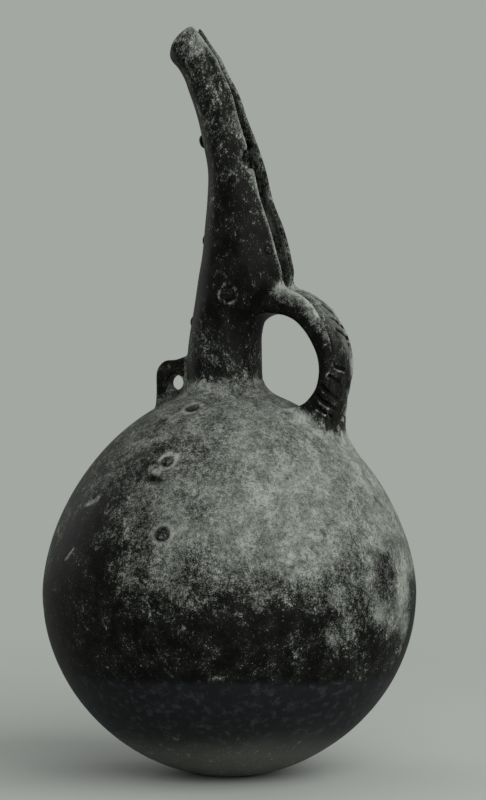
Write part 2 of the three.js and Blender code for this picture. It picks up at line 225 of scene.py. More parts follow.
@dataclass
class BodyForm:
    """Outside of the round body: two superellipses that meet at the widest place."""

    radius: float = 112
    widest: float = 109
    shoulder_rise: float = 124
    flat_radius: float = 15
    lower_power: float = 1.95
    upper_power: float = 1.8
    wall: float = 6
    unevenness: float = 0.55

    def __post_init__(self) -> None:
        """Works out the depth of the lower curve and draws the slow waves of the hand-built wall."""
        share = (1 - (self.flat_radius / self.radius) ** self.lower_power) ** (1 / self.lower_power)
        self.depth = self.widest / share
        rng = np.random.default_rng(7)
        self.waves = unit(rng.normal(size=(9, 3)))
        self.lengths = np.array([150, 120, 105, 88, 74, 62, 50, 41, 33.0])
        self.starts = rng.random(9) * 2 * math.pi

    def hollow(self, points: Array) -> Array:
        """Slow inward unevenness of the wall in millimetres, none at the flat it stands on.

        Args:
            points: Places in millimetres, one row each.

        Returns:
            One depth for each row.
        """
        total = np.zeros(len(points))
        for wave, length, start in zip(self.waves, self.lengths, self.starts):
            total += np.sin(points @ wave * 2 * math.pi / length + start) * length / 150
        return self.unevenness * (0.5 + total / 5.5) * ramp(1, 20, points[:, 2])

    def distance(self, points: Array) -> Array:
        """Signed distance from the wall's outside, less than 0 in the clay.

        Args:
            points: Places in millimetres, one row each.

        Returns:
            One distance for each row.
        """
        out = np.maximum(np.hypot(points[:, 0], points[:, 1]), 1e-6) / self.radius
        rise = points[:, 2] - self.widest
        up = rise > 0
        power = np.where(up, self.upper_power, self.lower_power)
        reach = np.where(up, self.shoulder_rise, self.depth)
        high = np.maximum(np.abs(rise) / reach, 1e-6)
        total = out**power + high**power
        level = total ** (1 / power)
        scale = level / total
        grown = np.hypot(scale * out ** (power - 1) / self.radius, scale * high ** (power - 1) / reach)
        return (level - 1) / grown + self.hollow(points)

    def near_point(self, across: float, height: float) -> Array:
        """Place on the side that the picture shows.

        Args:
            across: Distance to the right of the axis in the picture.
            height: Height above the base.

        Returns:
            The place in the part's own axes.
        """
        rise = height - self.widest
        power = self.upper_power if rise > 0 else self.lower_power
        reach = self.shoulder_rise if rise > 0 else self.depth
        radius = self.radius * max(1 - min(abs(rise) / reach, 1) ** power, 0) ** (1 / power)
        toward = math.sqrt(max(radius**2 - across**2, 0))
        cosine, sine = math.cos(VIEW_TURN), math.sin(VIEW_TURN)
        return np.array([across * cosine + toward * sine, across * sine - toward * cosine, height])

    def pictured(self, column: float, row: float) -> Array:
        """Place on that side which shows at a pixel of the picture."""
        return self.near_point((column - AXIS_COLUMN) * PIXEL, (BASE_ROW - row) * PIXEL)


@dataclass
class StemForm:
    """Neck and spout: one tube of level elliptical sections that leans forward."""

    foot_reach: float = 11
    wall: float = 5
    spout_wall: float = 4.3
    sill: float = 289.3
    lip: tuple[float, float] = (-38.4, 432.9)
    peak: tuple[float, float] = (-22.8, 449.9)
    trim_end: tuple[float, float] = (-15.5, 444.4)
    rounding: float = 2.8

    def __post_init__(self) -> None:
        """Makes the smooth tables from sections measured on the picture, each at its height."""
        # Height, middle, half depth and half width.
        heights, *columns = zip(
            (210, -3, 22.5, 22.5), (242, -3, 22.5, 22.5), (254, -3, 22.2, 22.2), (264, -2.3, 21.7, 21.7),
            (273, 0, 22.3, 21.9), (283, 5.5, 26, 22.8), (289.5, 9.5, 29, 23.4), (297, 11.1, 29.3, 23.8),
            (308.7, 11.1, 27, 24), (326, 9.6, 23.6, 22.8), (344, 6.75, 19.3, 19.2), (362, 4.6, 17.1, 17.1),
            (376.5, 0.9, 16.1, 16.1), (393, -4.7, 14.6, 14.6), (410, -11.4, 14.3, 14.3),
            (417.5, -15.1, 13.6, 13.6), (424, -18.8, 13.8, 13.8), (429, -22, 15, 14.4),
            (434, -24.6, 14.4, 14), (443, -29.6, 13.2, 13.2), (460, -39, 13, 13),
        )
        self.centre, self.deep, self.wide = (SmoothTable(heights, column) for column in columns)
        # Height and half of the gap between the two rims.
        self.gap = SmoothTable(*zip(
            (280, 0.5), (287.5, 3.6), (292.5, 5.9), (299, 7.6), (308.7, 8.6), (326, 8.9), (344, 7.9),
            (362, 7.8), (376.5, 7.4), (393, 5.5), (410, 3.4), (417, 2.2), (426, 1.6), (434, 1.5),
            (442, 1.6), (460, 1.6),
        ))
        thick = (self.wall, self.wall, 4.6, self.spout_wall, 3.8)
        self.clay = SmoothTable((205, 280, 300, 430, 460), thick)

    def thickness(self, points: Array) -> Array:
        """Thickness of the wall, which thins towards both rims of the open back, in millimetres.

        Args:
            points: Places in millimetres, one row each.

        Returns:
            One thickness for each row.
        """
        x, y, z = points.T
        near_rim = bell(np.maximum(np.abs(y) - self.gap(z), 0), 5.0) * ramp(0, 5, x - self.centre(z))
        return self.clay(z) - 1.7 * near_rim * ramp(288, 300, z)

    def tube(self, points: Array, shrink: Array | float = 0.0) -> Array:
        """Signed distance from the tube's outside, or from its bore where shrink is the wall.

        Args:
            points: Places in millimetres, one row each.
            shrink: How far the section is drawn in, in millimetres.

        Returns:
            One distance for each row.
        """
        x, y, z = points.T
        deep = self.deep(z) - shrink
        wide = self.wide(z) - shrink
        along = (x - self.centre(z)) / deep
        across = y / wide
        ring = np.maximum(np.hypot(along, across), 1e-6)
        cosine = along / ring
        radius = 1 / np.sqrt((cosine / deep) ** 2 + (1 - cosine**2) / wide**2)
        lean = self.centre.slope(z) * cosine + self.deep.slope(z)
        return (ring - 1) * radius / np.sqrt(1 + lean**2)

    def paring(self, points: Array) -> Array:
        """Shallow upright facets and dents left by paring the leather-hard clay, in millimetres.

        Args:
            points: Places in millimetres, one row each.

        Returns:
            One height for each row.
        """
        x, y, z = points.T
        turn = np.arctan2(y, x - self.centre(z))
        facets = 0.12 * np.sin(9 * turn + 0.012 * z + 1.3 * np.sin(z / 37))
        dents = 0.16 * np.sin(z / 9.5 + 2.1 * np.sin(turn * 2 + 0.4)) * np.sin(turn * 3 + z / 41)
        return facets + dents

    def rim_bead(self, points: Array) -> Array:
        """Thin raised bead along both edges of the open back, in millimetres.

        Args:
            points: Places in millimetres, one row each.

        Returns:
            One height for each row.
        """
        x, y, z = points.T
        edge = np.abs(y) - self.gap(z) - 1.6
        behind = ramp(0, 4, x - self.centre(z))
        return 0.75 * bell(edge, 1.5) * behind * ramp(293, 303, z) * (1 - ramp(425, 436, z))

    def open_back(self, points: Array) -> Array:
        """More than 0 in the long gap between the two rims.

        Args:
            points: Places in millimetres, one row each.

        Returns:
            One value for each row.
        """
        x, y, z = points.T
        beside = self.gap(z) - np.abs(y)
        behind = x - self.centre(z)
        return smooth_min(np.minimum(beside, behind), z - self.sill, 3.0)

    def mouth_trim(self, points: Array) -> Array:
        """More than 0 above the two sloping cuts that shape the mouth.

        Args:
            points: Places in millimetres, one row each.

        Returns:
            One value for each row.
        """
        x, _, z = points.T
        front = np.array([self.lip[1] - self.peak[1], self.peak[0] - self.lip[0]])
        back = np.array([self.peak[1] - self.trim_end[1], self.trim_end[0] - self.peak[0]])
        front /= np.linalg.norm(front)
        back /= np.linalg.norm(back)
        first = front[0] * (x - self.peak[0]) + front[1] * (z - self.peak[1])
        second = back[0] * (x - self.peak[0]) + back[1] * (z - self.peak[1])
        return smooth_max(first, second, 1.2)

    def chip(self, points: Array) -> Array:
        """More than 0 in the old chip of the near rim.

        Args:
            points: Places in millimetres, one row each.

        Returns:
            One value for each row.
        """
        middle = np.array([19.6, -9.4, 368.2])
        spread = np.array([6.2, 4.6, 6.4])
        wobble = 0.25 * np.sin(points[:, 2] * 1.9) + 0.2 * np.sin(points[:, 0] * 2.3)
        return (1 - np.linalg.norm((points - middle) / spread, axis=1)) * 5 + wobble


@dataclass
class JugWall:
    """Whole outside of the body and the neck as one field, for what is set on it."""

    body: BodyForm = field(default_factory=BodyForm)
    stem: StemForm = field(default_factory=StemForm)
    seam_depth: float = 0.45

    def stem_outside(self, points: Array) -> Array:
        """Outside of the neck and spout alone, with facets, beads and the smoothing line at the foot.

        Args:
            points: Places in millimetres, one row each.

        Returns:
            One distance for each row.
        """
        turn = np.arctan2(points[:, 1], points[:, 0] + 3)
        line = 235.6 + 0.7 * np.sin(2 * turn + 1) + 0.4 * np.sin(5 * turn)
        seam = self.seam_depth * bell(points[:, 2] - line, 0.9)
        return self.stem.tube(points) + self.stem.paring(points) - self.stem.rim_bead(points) + seam

    def outside(self, points: Array) -> Array:
        """Signed distance from the jug's outside with the fillet at the neck's foot."""
        return smooth_min(self.stem_outside(points), self.body.distance(points), self.stem.foot_reach)


def direction(shape: Field, points: Array, step: float = 0.12) -> Array:
    """Slope of a field at each place by central differences, one row each.

    Args:
        shape: The field.
        points: Places in millimetres, one row each.
        step: Way to each side in millimetres.

    Returns:
        One slope for each row.
    """
    slope = np.empty_like(points)
    for axis in range(3):
        shift = np.zeros(3)
        shift[axis] = step
        slope[:, axis] = (shape(points + shift) - shape(points - shift)) / (2 * step)
    return slope


def settle(shape: Field, points: Array, rounds: int = 3, most: float = 0.8) -> Array:
    """Moves places onto the surface where a field is 0.

    Args:
        shape: The field.
        points: Places near its surface.
        rounds: Newton steps.
        most: Longest step in millimetres.

    Returns:
        The places on the surface.
    """
    for _ in range(rounds):
        slope = direction(shape, points)
        size = np.maximum((slope**2).sum(axis=1), 0.05)
        move = (shape(points) / size)[:, None] * slope
        length = np.maximum(np.linalg.norm(move, axis=1), 1e-9)
        points = points - move * np.minimum(1, most / length)[:, None]
    return points


class ClayMesher:
    """Turns a field into a closed mesh of even quads by surface nets."""

    CORNERS = [(i, j, k) for i in (0, 1) for j in (0, 1) for k in (0, 1)]
    EDGES = [(a, b) for a in range(8) for b in range(a + 1, 8) if bin(a ^ b).count("1") == 1]

    def __init__(self, low: tuple, high: tuple, step: float) -> None:
        """Lays the grid over a box, in millimetres.

        Args:
            low: Lowest corner of the box.
            high: Its highest corner.
            step: Width of a cell.
        """
        self.step = step * 1.0
        self.low = np.array(low, float)
        count = np.ceil((np.array(high) - self.low) / self.step).astype(int) + 1
        self.axes = [self.low[axis] + self.step * np.arange(count[axis]) for axis in range(3)]

    def sample(self, shape: Field) -> Array:
        """Field at each corner of the grid, with its outer faces held outside the clay.

        Args:
            shape: The field.

        Returns:
            One value for each corner of the grid.
        """
        x, y, z = self.axes
        values = np.empty((len(x), len(y), len(z)))
        level, upright = np.meshgrid(y, z, indexing="ij")
        for place, along in enumerate(x):
            points = np.stack([np.full(level.size, along), level.ravel(), upright.ravel()], axis=1)
            values[place] = shape(points).reshape(level.shape)
        for axis in range(3):
            view = np.moveaxis(values, axis, 0)
            view[0] = np.maximum(view[0], 0.2)
            view[-1] = np.maximum(view[-1], 0.2)
        return values

    def mesh(self, shape: Field) -> tuple[Array, Array]:
        """Closed quads over the field's surface.

        Args:
            shape: The field, less than 0 in the clay.

        Returns:
            The points in millimetres and the quads, four indices each.
        """
        values = self.sample(shape)
        inside = values < 0
        size = [count - 1 for count in values.shape]

        def corner(grid: Array, step: tuple) -> Array:
            """Grid as seen from one corner of every cell."""
            return grid[tuple(slice(start, start + length) for start, length in zip(step, size))]

        count = sum(corner(inside, step).astype(np.int8) for step in self.CORNERS)
        active = (count > 0) & (count < 8)
        cells = np.argwhere(active)
        name = np.full(active.shape, -1)
        name[active] = np.arange(len(cells))
        held = np.stack([corner(values, step)[active] for step in self.CORNERS], axis=1)
        total = np.zeros((len(cells), 3))
        hits = np.zeros(len(cells))
        offsets = np.array(self.CORNERS, float)
        for a, b in self.EDGES:
            crossed = (held[:, a] < 0) != (held[:, b] < 0)
            share = held[crossed, a] / (held[crossed, a] - held[crossed, b])
            total[crossed] += offsets[a] + (offsets[b] - offsets[a]) * share[:, None]
            hits[crossed] += 1
        points = self.low + self.step * (cells + total / hits[:, None])
        quads = self._quads(inside, name)
        points = self._relax(points, quads)
        return settle(shape, points, most=self.step), quads

    def _quads(self, inside: Array, name: Array) -> Array:
        """One quad round each grid edge that goes through the surface, facing out of the clay.

        Args:
            inside: Which corners of the grid are in the clay.
            name: Number of each cell's point, or -1.

        Returns:
            The quads, four indices each.
        """
        faces = []
        for axis in range(3):
            one, two = (axis + 1) % 3, (axis + 2) % 3
            low = [slice(1, -1)] * 3
            high = [slice(1, -1)] * 3
            low[axis] = slice(0, -1)
            high[axis] = slice(1, None)
            first, second = inside[tuple(low)], inside[tuple(high)]
            place = np.argwhere(first != second)
            leaving = first[first != second]
            start = place.copy()
            start[:, one] += 1
            start[:, two] += 1
            ring = []
            for back_one, back_two in ((1, 1), (0, 1), (0, 0), (1, 0)):
                cell = start.copy()
                cell[:, one] -= back_one
                cell[:, two] -= back_two
                ring.append(name[tuple(cell.T)])
            quads = np.stack(ring, axis=1)
            quads[~leaving] = quads[~leaving][:, ::-1]
            faces.append(quads)
        return np.concatenate(faces)

    def _relax(self, points: Array, quads: Array) -> Array:
        """Evens the quads out with two rounds of neighbour averaging.

        Args:
            points: Places in millimetres, one row each.
            quads: Quads over them, four indices each.

        Returns:
            The places after the rounds.
        """
        ends = np.concatenate([quads[:, [0, 1]], quads[:, [1, 2]], quads[:, [2, 3]], quads[:, [3, 0]]])
        for _ in range(2):
            total = np.zeros_like(points)
            for axis in range(3):
                total[:, axis] = np.bincount(ends[:, 0], points[ends[:, 1], axis], len(points))
                total[:, axis] += np.bincount(ends[:, 1], points[ends[:, 0], axis], len(points))
            count = np.bincount(ends.ravel(), minlength=len(points))
            points = 0.5 * points + 0.5 * total / np.maximum(count, 1)[:, None]
        return points


# Pieces as fields


@dataclass
class ClayPiece:
    """Piece of clay grown from a field, set on the jug's wall and bedded a little way into it."""

    wall: JugWall
    bedding: float = 1.0
    step: float = 1.0
    low: Corner = (-1, -1, -1)
    high: Corner = (1, 1, 1)

    def clay(self, points: Array) -> Array:
        """Field of the clay with its fillets."""
        raise NotImplementedError

    def skirt(self, points: Array) -> Array:
        """Field that ends the piece where its fillets have run out."""
        raise NotImplementedError

    def seat(self, points: Array) -> Array:
        """Field of the wall that the piece is bedded in."""
        return self.wall.outside(points)

    def shape(self, points: Array) -> Array:
        """Field of the whole piece."""
        clay = np.maximum(self.clay(points), self.skirt(points))
        return np.maximum(clay, -(self.seat(points) + self.bedding))

    def build(self) -> tuple[Array, Array]:
        """Meshes the field between its low and its high corner."""
        return ClayMesher(self.low, self.high, self.step).mesh(self.shape)


@dataclass
class NeckAndSpout(ClayPiece):
    """Neck tube and the spout that opens along its back, thrown as one wall."""

    bedding: float = 2.0
    low: Corner = (-48, -38, 219)
    high: Corner = (48, 38, 453)

    def clay(self, points: Array) -> Array:
        """Field of the wall with its bore, its open back, its mouth and its chip.

        Args:
            points: Places in millimetres, one row each.

        Returns:
            One value for each row.
        """
        stem = self.wall.stem
        outside = self.wall.outside(points)
        bore = -stem.tube(points, stem.thickness(points))
        cut = smooth_max(stem.open_back(points), stem.mouth_trim(points), 3.5)
        cut = smooth_max(cut, stem.chip(points), 1.0)
        outer = smooth_max(outside, cut, stem.rounding)
        inner = smooth_max(bore, cut, stem.rounding)
        return smooth_max(outer, inner, 0.7)

    def skirt(self, points: Array) -> Array:
        """Field that ends the neck where its foot has run out on the shoulder."""
        return self.wall.stem_outside(points) - SKIRT_END * self.wall.stem.foot_reach

    def seat(self, points: Array) -> Array:
        """Field of the body alone, which the neck's foot is bedded in."""
        return self.wall.body.distance(points)


@dataclass
class Stroke:
    """Incised stroke across the strap, through places given as share, across and drop below the face."""

    places: tuple[tuple[float, float, float], ...]
    depth: float = 1.4
    # Drop of the painted highlight below the stroke, past its depth; 0 gives none.
    lip: float = 0.9


@dataclass
class StrapHandle(ClayPiece):
    """Broad strap from the back of the neck's top down to the shoulder."""

    step: float = 0.7
    low: Corner = (20, -26, 190)
    high: Corner = (80, 26, 300)
    fillet: float = 7.0
    strokes: tuple[Stroke, ...] = (
        Stroke(((0.345, 1.5, 0), (0.369, 3.8, 0), (0.389, 7.2, 0)), 1.0, 0),
        Stroke(((0.410, -0.7, 0), (0.427, 5.5, 0), (0.443, 14.2, 0)), 1.15, 0),
        Stroke(((0.461, -0.4, 0), (0.472, 6.5, 0), (0.493, 14.2, 0)), 1.2, 0),
        Stroke(((0.597, -13.0, 0.2), (0.611, -8.6, 0), (0.620, 0.5, 0)), 1.1, 0.6),
        Stroke(((0.646, -15.6, 1.2), (0.656, -12.5, 0), (0.669, -4.5, 0)), 1.2, 0.8),
        Stroke(((0.695, -16.5, 5.0), (0.706, -16.4, 3.2), (0.717, -14.8, 0.5), (0.735, -4.0, 0)), 1.2),
        Stroke(((0.741, -16.6, 7.2), (0.753, -16.4, 4.2), (0.762, -14.4, 0.4), (0.777, -4.5, 0)), 1.2),
        Stroke(((0.787, -16.6, 6.0), (0.794, -15.6, 0.8), (0.808, -7.0, 0)), 0.9, 0.8),
    )

    def __post_init__(self) -> None:
        """Draws the strap's middle line, and the map from a place to its share and its height on it."""
        # Middle line's X and Z, half thickness and half width.
        rows = np.array([
            (10.0, 283.0, 6.3, 10.0), (33.9, 283.2, 6.3, 11.0), (44.0, 281.8, 6.2, 12.6),
            (52.0, 277.6, 5.7, 14.4), (59.6, 269.6, 5.1, 16.0), (65.2, 260.1, 4.4, 17.0),
            (68.4, 250.8, 3.8, 17.0), (69.2, 241.0, 3.6, 16.5), (67.8, 231.0, 4.0, 16.0),
            (64.8, 221.5, 5.5, 15.5), (60.0, 212.0, 7.5, 15.0), (54.0, 203.0, 9.0, 14.5),
            (48.0, 196.0, 9.0, 14.0),
        ])
        travel = np.concatenate([[0], np.cumsum(np.linalg.norm(np.diff(rows[:, :2], axis=0), axis=1))])
        tables = [SmoothTable(travel / travel[-1], column, 240) for column in rows.T]
        self.line_x, self.line_z, self.half_thick, self.half_wide = tables
        self.thumbed = HandNoise(23)
        self._draw_map()

    def _draw_map(self) -> None:
        """Fills the flat map, which is read between its cells."""
        self.map_low = np.array([5.0, 185.0])
        self.map_step = 0.4
        across = np.arange(self.map_low[0], 90, self.map_step)
        up = np.arange(self.map_low[1], 305, self.map_step)
        spot_x, spot_z = np.meshgrid(across, up, indexing="ij")
        best = np.full(spot_x.shape, 1e9)
        self.map_share = np.zeros(spot_x.shape)
        self.map_out = np.zeros(spot_x.shape)
        x, z = self.line_x.values, self.line_z.values
        for row in range(len(x) - 1):
            run = np.array([x[row + 1] - x[row], z[row + 1] - z[row]])
            length = np.hypot(*run)
            t = ((spot_x - x[row]) * run[0] + (spot_z - z[row]) * run[1]) / length**2
            held = np.clip(t, 0, 1)
            gap = np.hypot(spot_x - x[row] - held * run[0], spot_z - z[row] - held * run[1])
            side = (spot_z - z[row]) * run[0] - (spot_x - x[row]) * run[1]
            nearer = gap < best
            best = np.where(nearer, gap, best)
            self.map_share = np.where(nearer, (row + held) / (len(x) - 1), self.map_share)
            self.map_out = np.where(nearer, np.sign(side) * gap, self.map_out)

    def flat(self, points: Array) -> tuple[Array, Array]:
        """Share along the strap and height above its middle line, read from the map.

        Args:
            points: Places in millimetres, one row each.

        Returns:
            The shares, and the heights in millimetres.
        """
        place = (points[:, [0, 2]] - self.map_low) / self.map_step
        place = np.clip(place, 0, np.array(self.map_share.shape) - 1.001)
        i, j = place.astype(int).T
        s, t = (place - place.astype(int)).T
        found = []
        for table in (self.map_share, self.map_out):
            low = table[i, j] * (1 - s) + table[i + 1, j] * s
            high = table[i, j + 1] * (1 - s) + table[i + 1, j + 1] * s
            found.append(low * (1 - t) + high * t)
        return found[0], found[1]

    def on_face(self, share: float, across: float, drop: float = 0.0) -> Array:
        """Place on the strap's outer face, or a drop below it.

        Args:
            share: Share of the way along the strap.
            across: Distance from the strap's middle.
            drop: Depth below the face.

        Returns:
            The place.
        """
        step = 0.004
        lines = (self.line_x, self.line_z)
        run = np.array([float(line(share + step) - line(share - step)) for line in lines])
        run /= np.linalg.norm(run)
        raised = self.relief(np.array([share]), np.array([across]))[0]
        out = float(self.half_thick(share)) + float(raised) - drop
        x, z = (float(line(share)) for line in lines)
        return np.array([x - run[1] * out, across, z + run[0] * out])

    def relief(self, share: Array, across: Array) -> Array:
        """Raised edges, channels and rounded middle of the outer face, in millimetres.

        Args:
            share: Share of the way along the strap.
            across: Distance from the strap's middle.

        Returns:
            One height for each place.
        """
        part = across / self.half_wide(share)
        rise = ramp(0.20, 0.36, share)
        fade = (1 - ramp(0.54, 0.68, share)) * ramp(0.05, 0.20, share)
        rib = 1.7 * rise * (1 - ramp(0.15, 0.80, np.abs(part - 0.2)))
        near = 0.9 * bell(part + 0.90, 0.09) - 2.1 * bell(part + 0.69, 0.08)
        far = 0.9 * bell(part - 0.92, 0.10) - 0.6 * bell(part - 0.72, 0.07)
        return rib + (near + far) * fade + 0.3

    def strap(self, points: Array) -> Array:
        """Field of the strap alone.

        Args:
            points: Places in millimetres, one row each.

        Returns:
            One value for each row.
        """
        share, out = self.flat(points)
        across = points[:, 1]
        thick = self.half_thick(share)
        wobble = 0.22 * np.sin(share * 41 + across * 0.21) + 0.14 * np.sin(share * 23 - across * 0.5)
        lumps = (0.15 + 0.5 * ramp(0.46, 0.60, share)) * self.thumbed(points, 4.5)
        above = out - thick - self.relief(share, across) + wobble + lumps
        inner = 1.5 + 1.2 * bell(share - 0.28, 0.12) + 2.4 * ramp(0.70, 0.85, share)
        below = -out - thick - inner + 0.4 * (np.abs(across) / 14) ** 2
        beside = np.abs(across + 0.4 * np.sin(share * 17)) - self.half_wide(share) - 0.9
        return smooth_max(smooth_max(above, below, 2.0), beside, 3.4)

    def reach(self, points: Array) -> Array:
        """Reach of the fillets, which is wider at the foot, in millimetres."""
        return self.fillet + 10 * (1 - ramp(209, 234, points[:, 2]))

    def clay(self, points: Array) -> Array:
        """Field of the strap with its fillets on the neck and the shoulder and its strokes.

        Args:
            points: Places in millimetres, one row each.

        Returns:
            One value for each row.
        """
        clay = smooth_min(self.strap(points), self.wall.outside(points), self.reach(points))
        for stroke in self.strokes:
            clay = smooth_max(clay, stroke.depth - self.stroke_gap(points, stroke), 0.5)
        return smooth_max(clay, self.wall.stem.open_back(points), 1.6)

    def skirt(self, points: Array) -> Array:
        """Field that ends the strap where its fillets have run out."""
        return self.strap(points) - SKIRT_END * self.reach(points)

    def stroke_gap(self, points: Array, stroke: Stroke) -> Array:
        """Distance to the middle of one incised stroke, in millimetres."""
        spots = [self.on_face(*place) for place in stroke.places]
        return np.minimum.reduce([line_gap(points, start, end) for start, end in zip(spots, spots[1:])])


@dataclass
class StringLug(ClayPiece):
    """Small pierced lug in the corner between neck and shoulder, on the spout side."""

    step: float = 0.6
    low: Corner = (-58, -13, 200)
    high: Corner = (-16, 13, 262)
    fillet: float = 4.5
    outer: float = -47.3
    half_wide: float = 5.5
    hole: tuple[float, float] = (-34.25, 234.7)
    hole_half: tuple[float, float] = (5.4, 4.7)

    def slab(self, points: Array) -> Array:
        """Field of the lug's slab with its rounded corner, without the hole.

        Args:
            points: Places in millimetres, one row each.

        Returns:
            One value for each row.
        """
        x, y, z = points.T
        top = (z - 247.3) * 0.985 - (x + 43.0) * 0.17 + 0.3 * np.sin(x * 0.5)
        front = self.outer - x + 0.02 * (z - 235)
        side = np.abs(y) - self.half_wide - 0.25 * np.sin(z * 0.35)
        return smooth_max(smooth_max(top, front, 7.0), side, 3.0)

    def clay(self, points: Array) -> Array:
        """Field of the lug with its hole and its fillets.

        Args:
            points: Places in millimetres, one row each.

        Returns:
            One value for each row.
        """
        slab = self.slab(points)
        clay = smooth_min(slab, self.wall.outside(points), self.fillet)
        x, _, z = points.T
        ring = np.hypot((x - self.hole[0]) / self.hole_half[0], (z - self.hole[1]) / self.hole_half[1])
        pierced = (1 - ring) * min(self.hole_half)
        through = smooth_min(pierced, slab + 8.0, 1.0)
        return smooth_max(clay, through, 2.2)

    def skirt(self, points: Array) -> Array:
        """Field that ends the lug where its fillets have run out."""
        return self.slab(points) - SKIRT_END * self.fillet


# Places of the applied pellets


@dataclass(frozen=True)
class Pellet:
    """One flattened ball of clay pressed onto the wall."""

    node: str
    height: float
    turn: float
    radius: float
    proud: float
    ring: float
    face: float
    on_body: bool


def pellet_rows() -> list[Pellet]:
    """Pellets on both flanks and down the front, named for the CAD nodes they stand for.

    Returns:
        One entry for each pellet.
    """
    # Height, turn about the axis, radius, height above the wall, and lime on the ring and on the face.
    body = [
        (219.4, 94, 3.5, 1.2, 0.45, -0.10),
        (189, 91, 3.3, 1.4, 0.7, -0.05),
        (148.6, 86, 3.9, 2.3, 0.3, -0.40),
    ]
    neck = [
        (286.6, 86, 3.9, 2.0, 1.0, 0.12),
        (354.6, 78, 1.9, 0.6, 0.2, 0),
        (386.8, 86, 2.2, 0.7, 0.15, 0),
        (312.3, 36, 2.6, 0.8, 0.3, 0),
    ]
    front = [(271.4, 172, 3.4, 2.0, 0.2, 0), (320.0, 173, 3.4, 2.0, 0.2, 0), (379.4, 169, 4.2, 2.8, 0.2, 0)]
    groups = [
        ("body_pellet_near", body, -1), ("neck_pellet_near", neck, -1), ("body_pellet_far", body, 1),
        ("neck_pellet_far", neck, 1), ("front_pellet", front, -1),
    ]
    return [
        Pellet(f"{name}_{place}", height, side * turn, *rest, places is body)
        for name, places, side in groups
        for place, (height, turn, *rest) in enumerate(places, 1)
    ]


@dataclass
class PelletSeats:
    """Seats of the pellets on the jug's wall."""

    wall: JugWall
    rows: list[Pellet] = field(default_factory=pellet_rows)

    def __post_init__(self) -> None:
        """Settles each seat on the wall and finds the way out of it."""
        body, stem = self.wall.body, self.wall.stem
        starts = []
        for row in self.rows:
            angle = math.radians(row.turn)
            if row.on_body:
                rise = (row.height - body.widest) / body.shoulder_rise
                deep = wide = body.radius * (1 - rise**body.upper_power) ** (1 / body.upper_power)
                middle = 0.0
            else:
                tables = (stem.centre, stem.deep, stem.wide)
                middle, deep, wide = (float(table(row.height)) for table in tables)
            starts.append([middle + deep * math.cos(angle), wide * math.sin(angle), row.height])
        self.spots = settle(self.wall.outside, np.array(starts))
        self.outward = unit(direction(self.wall.outside, self.spots))
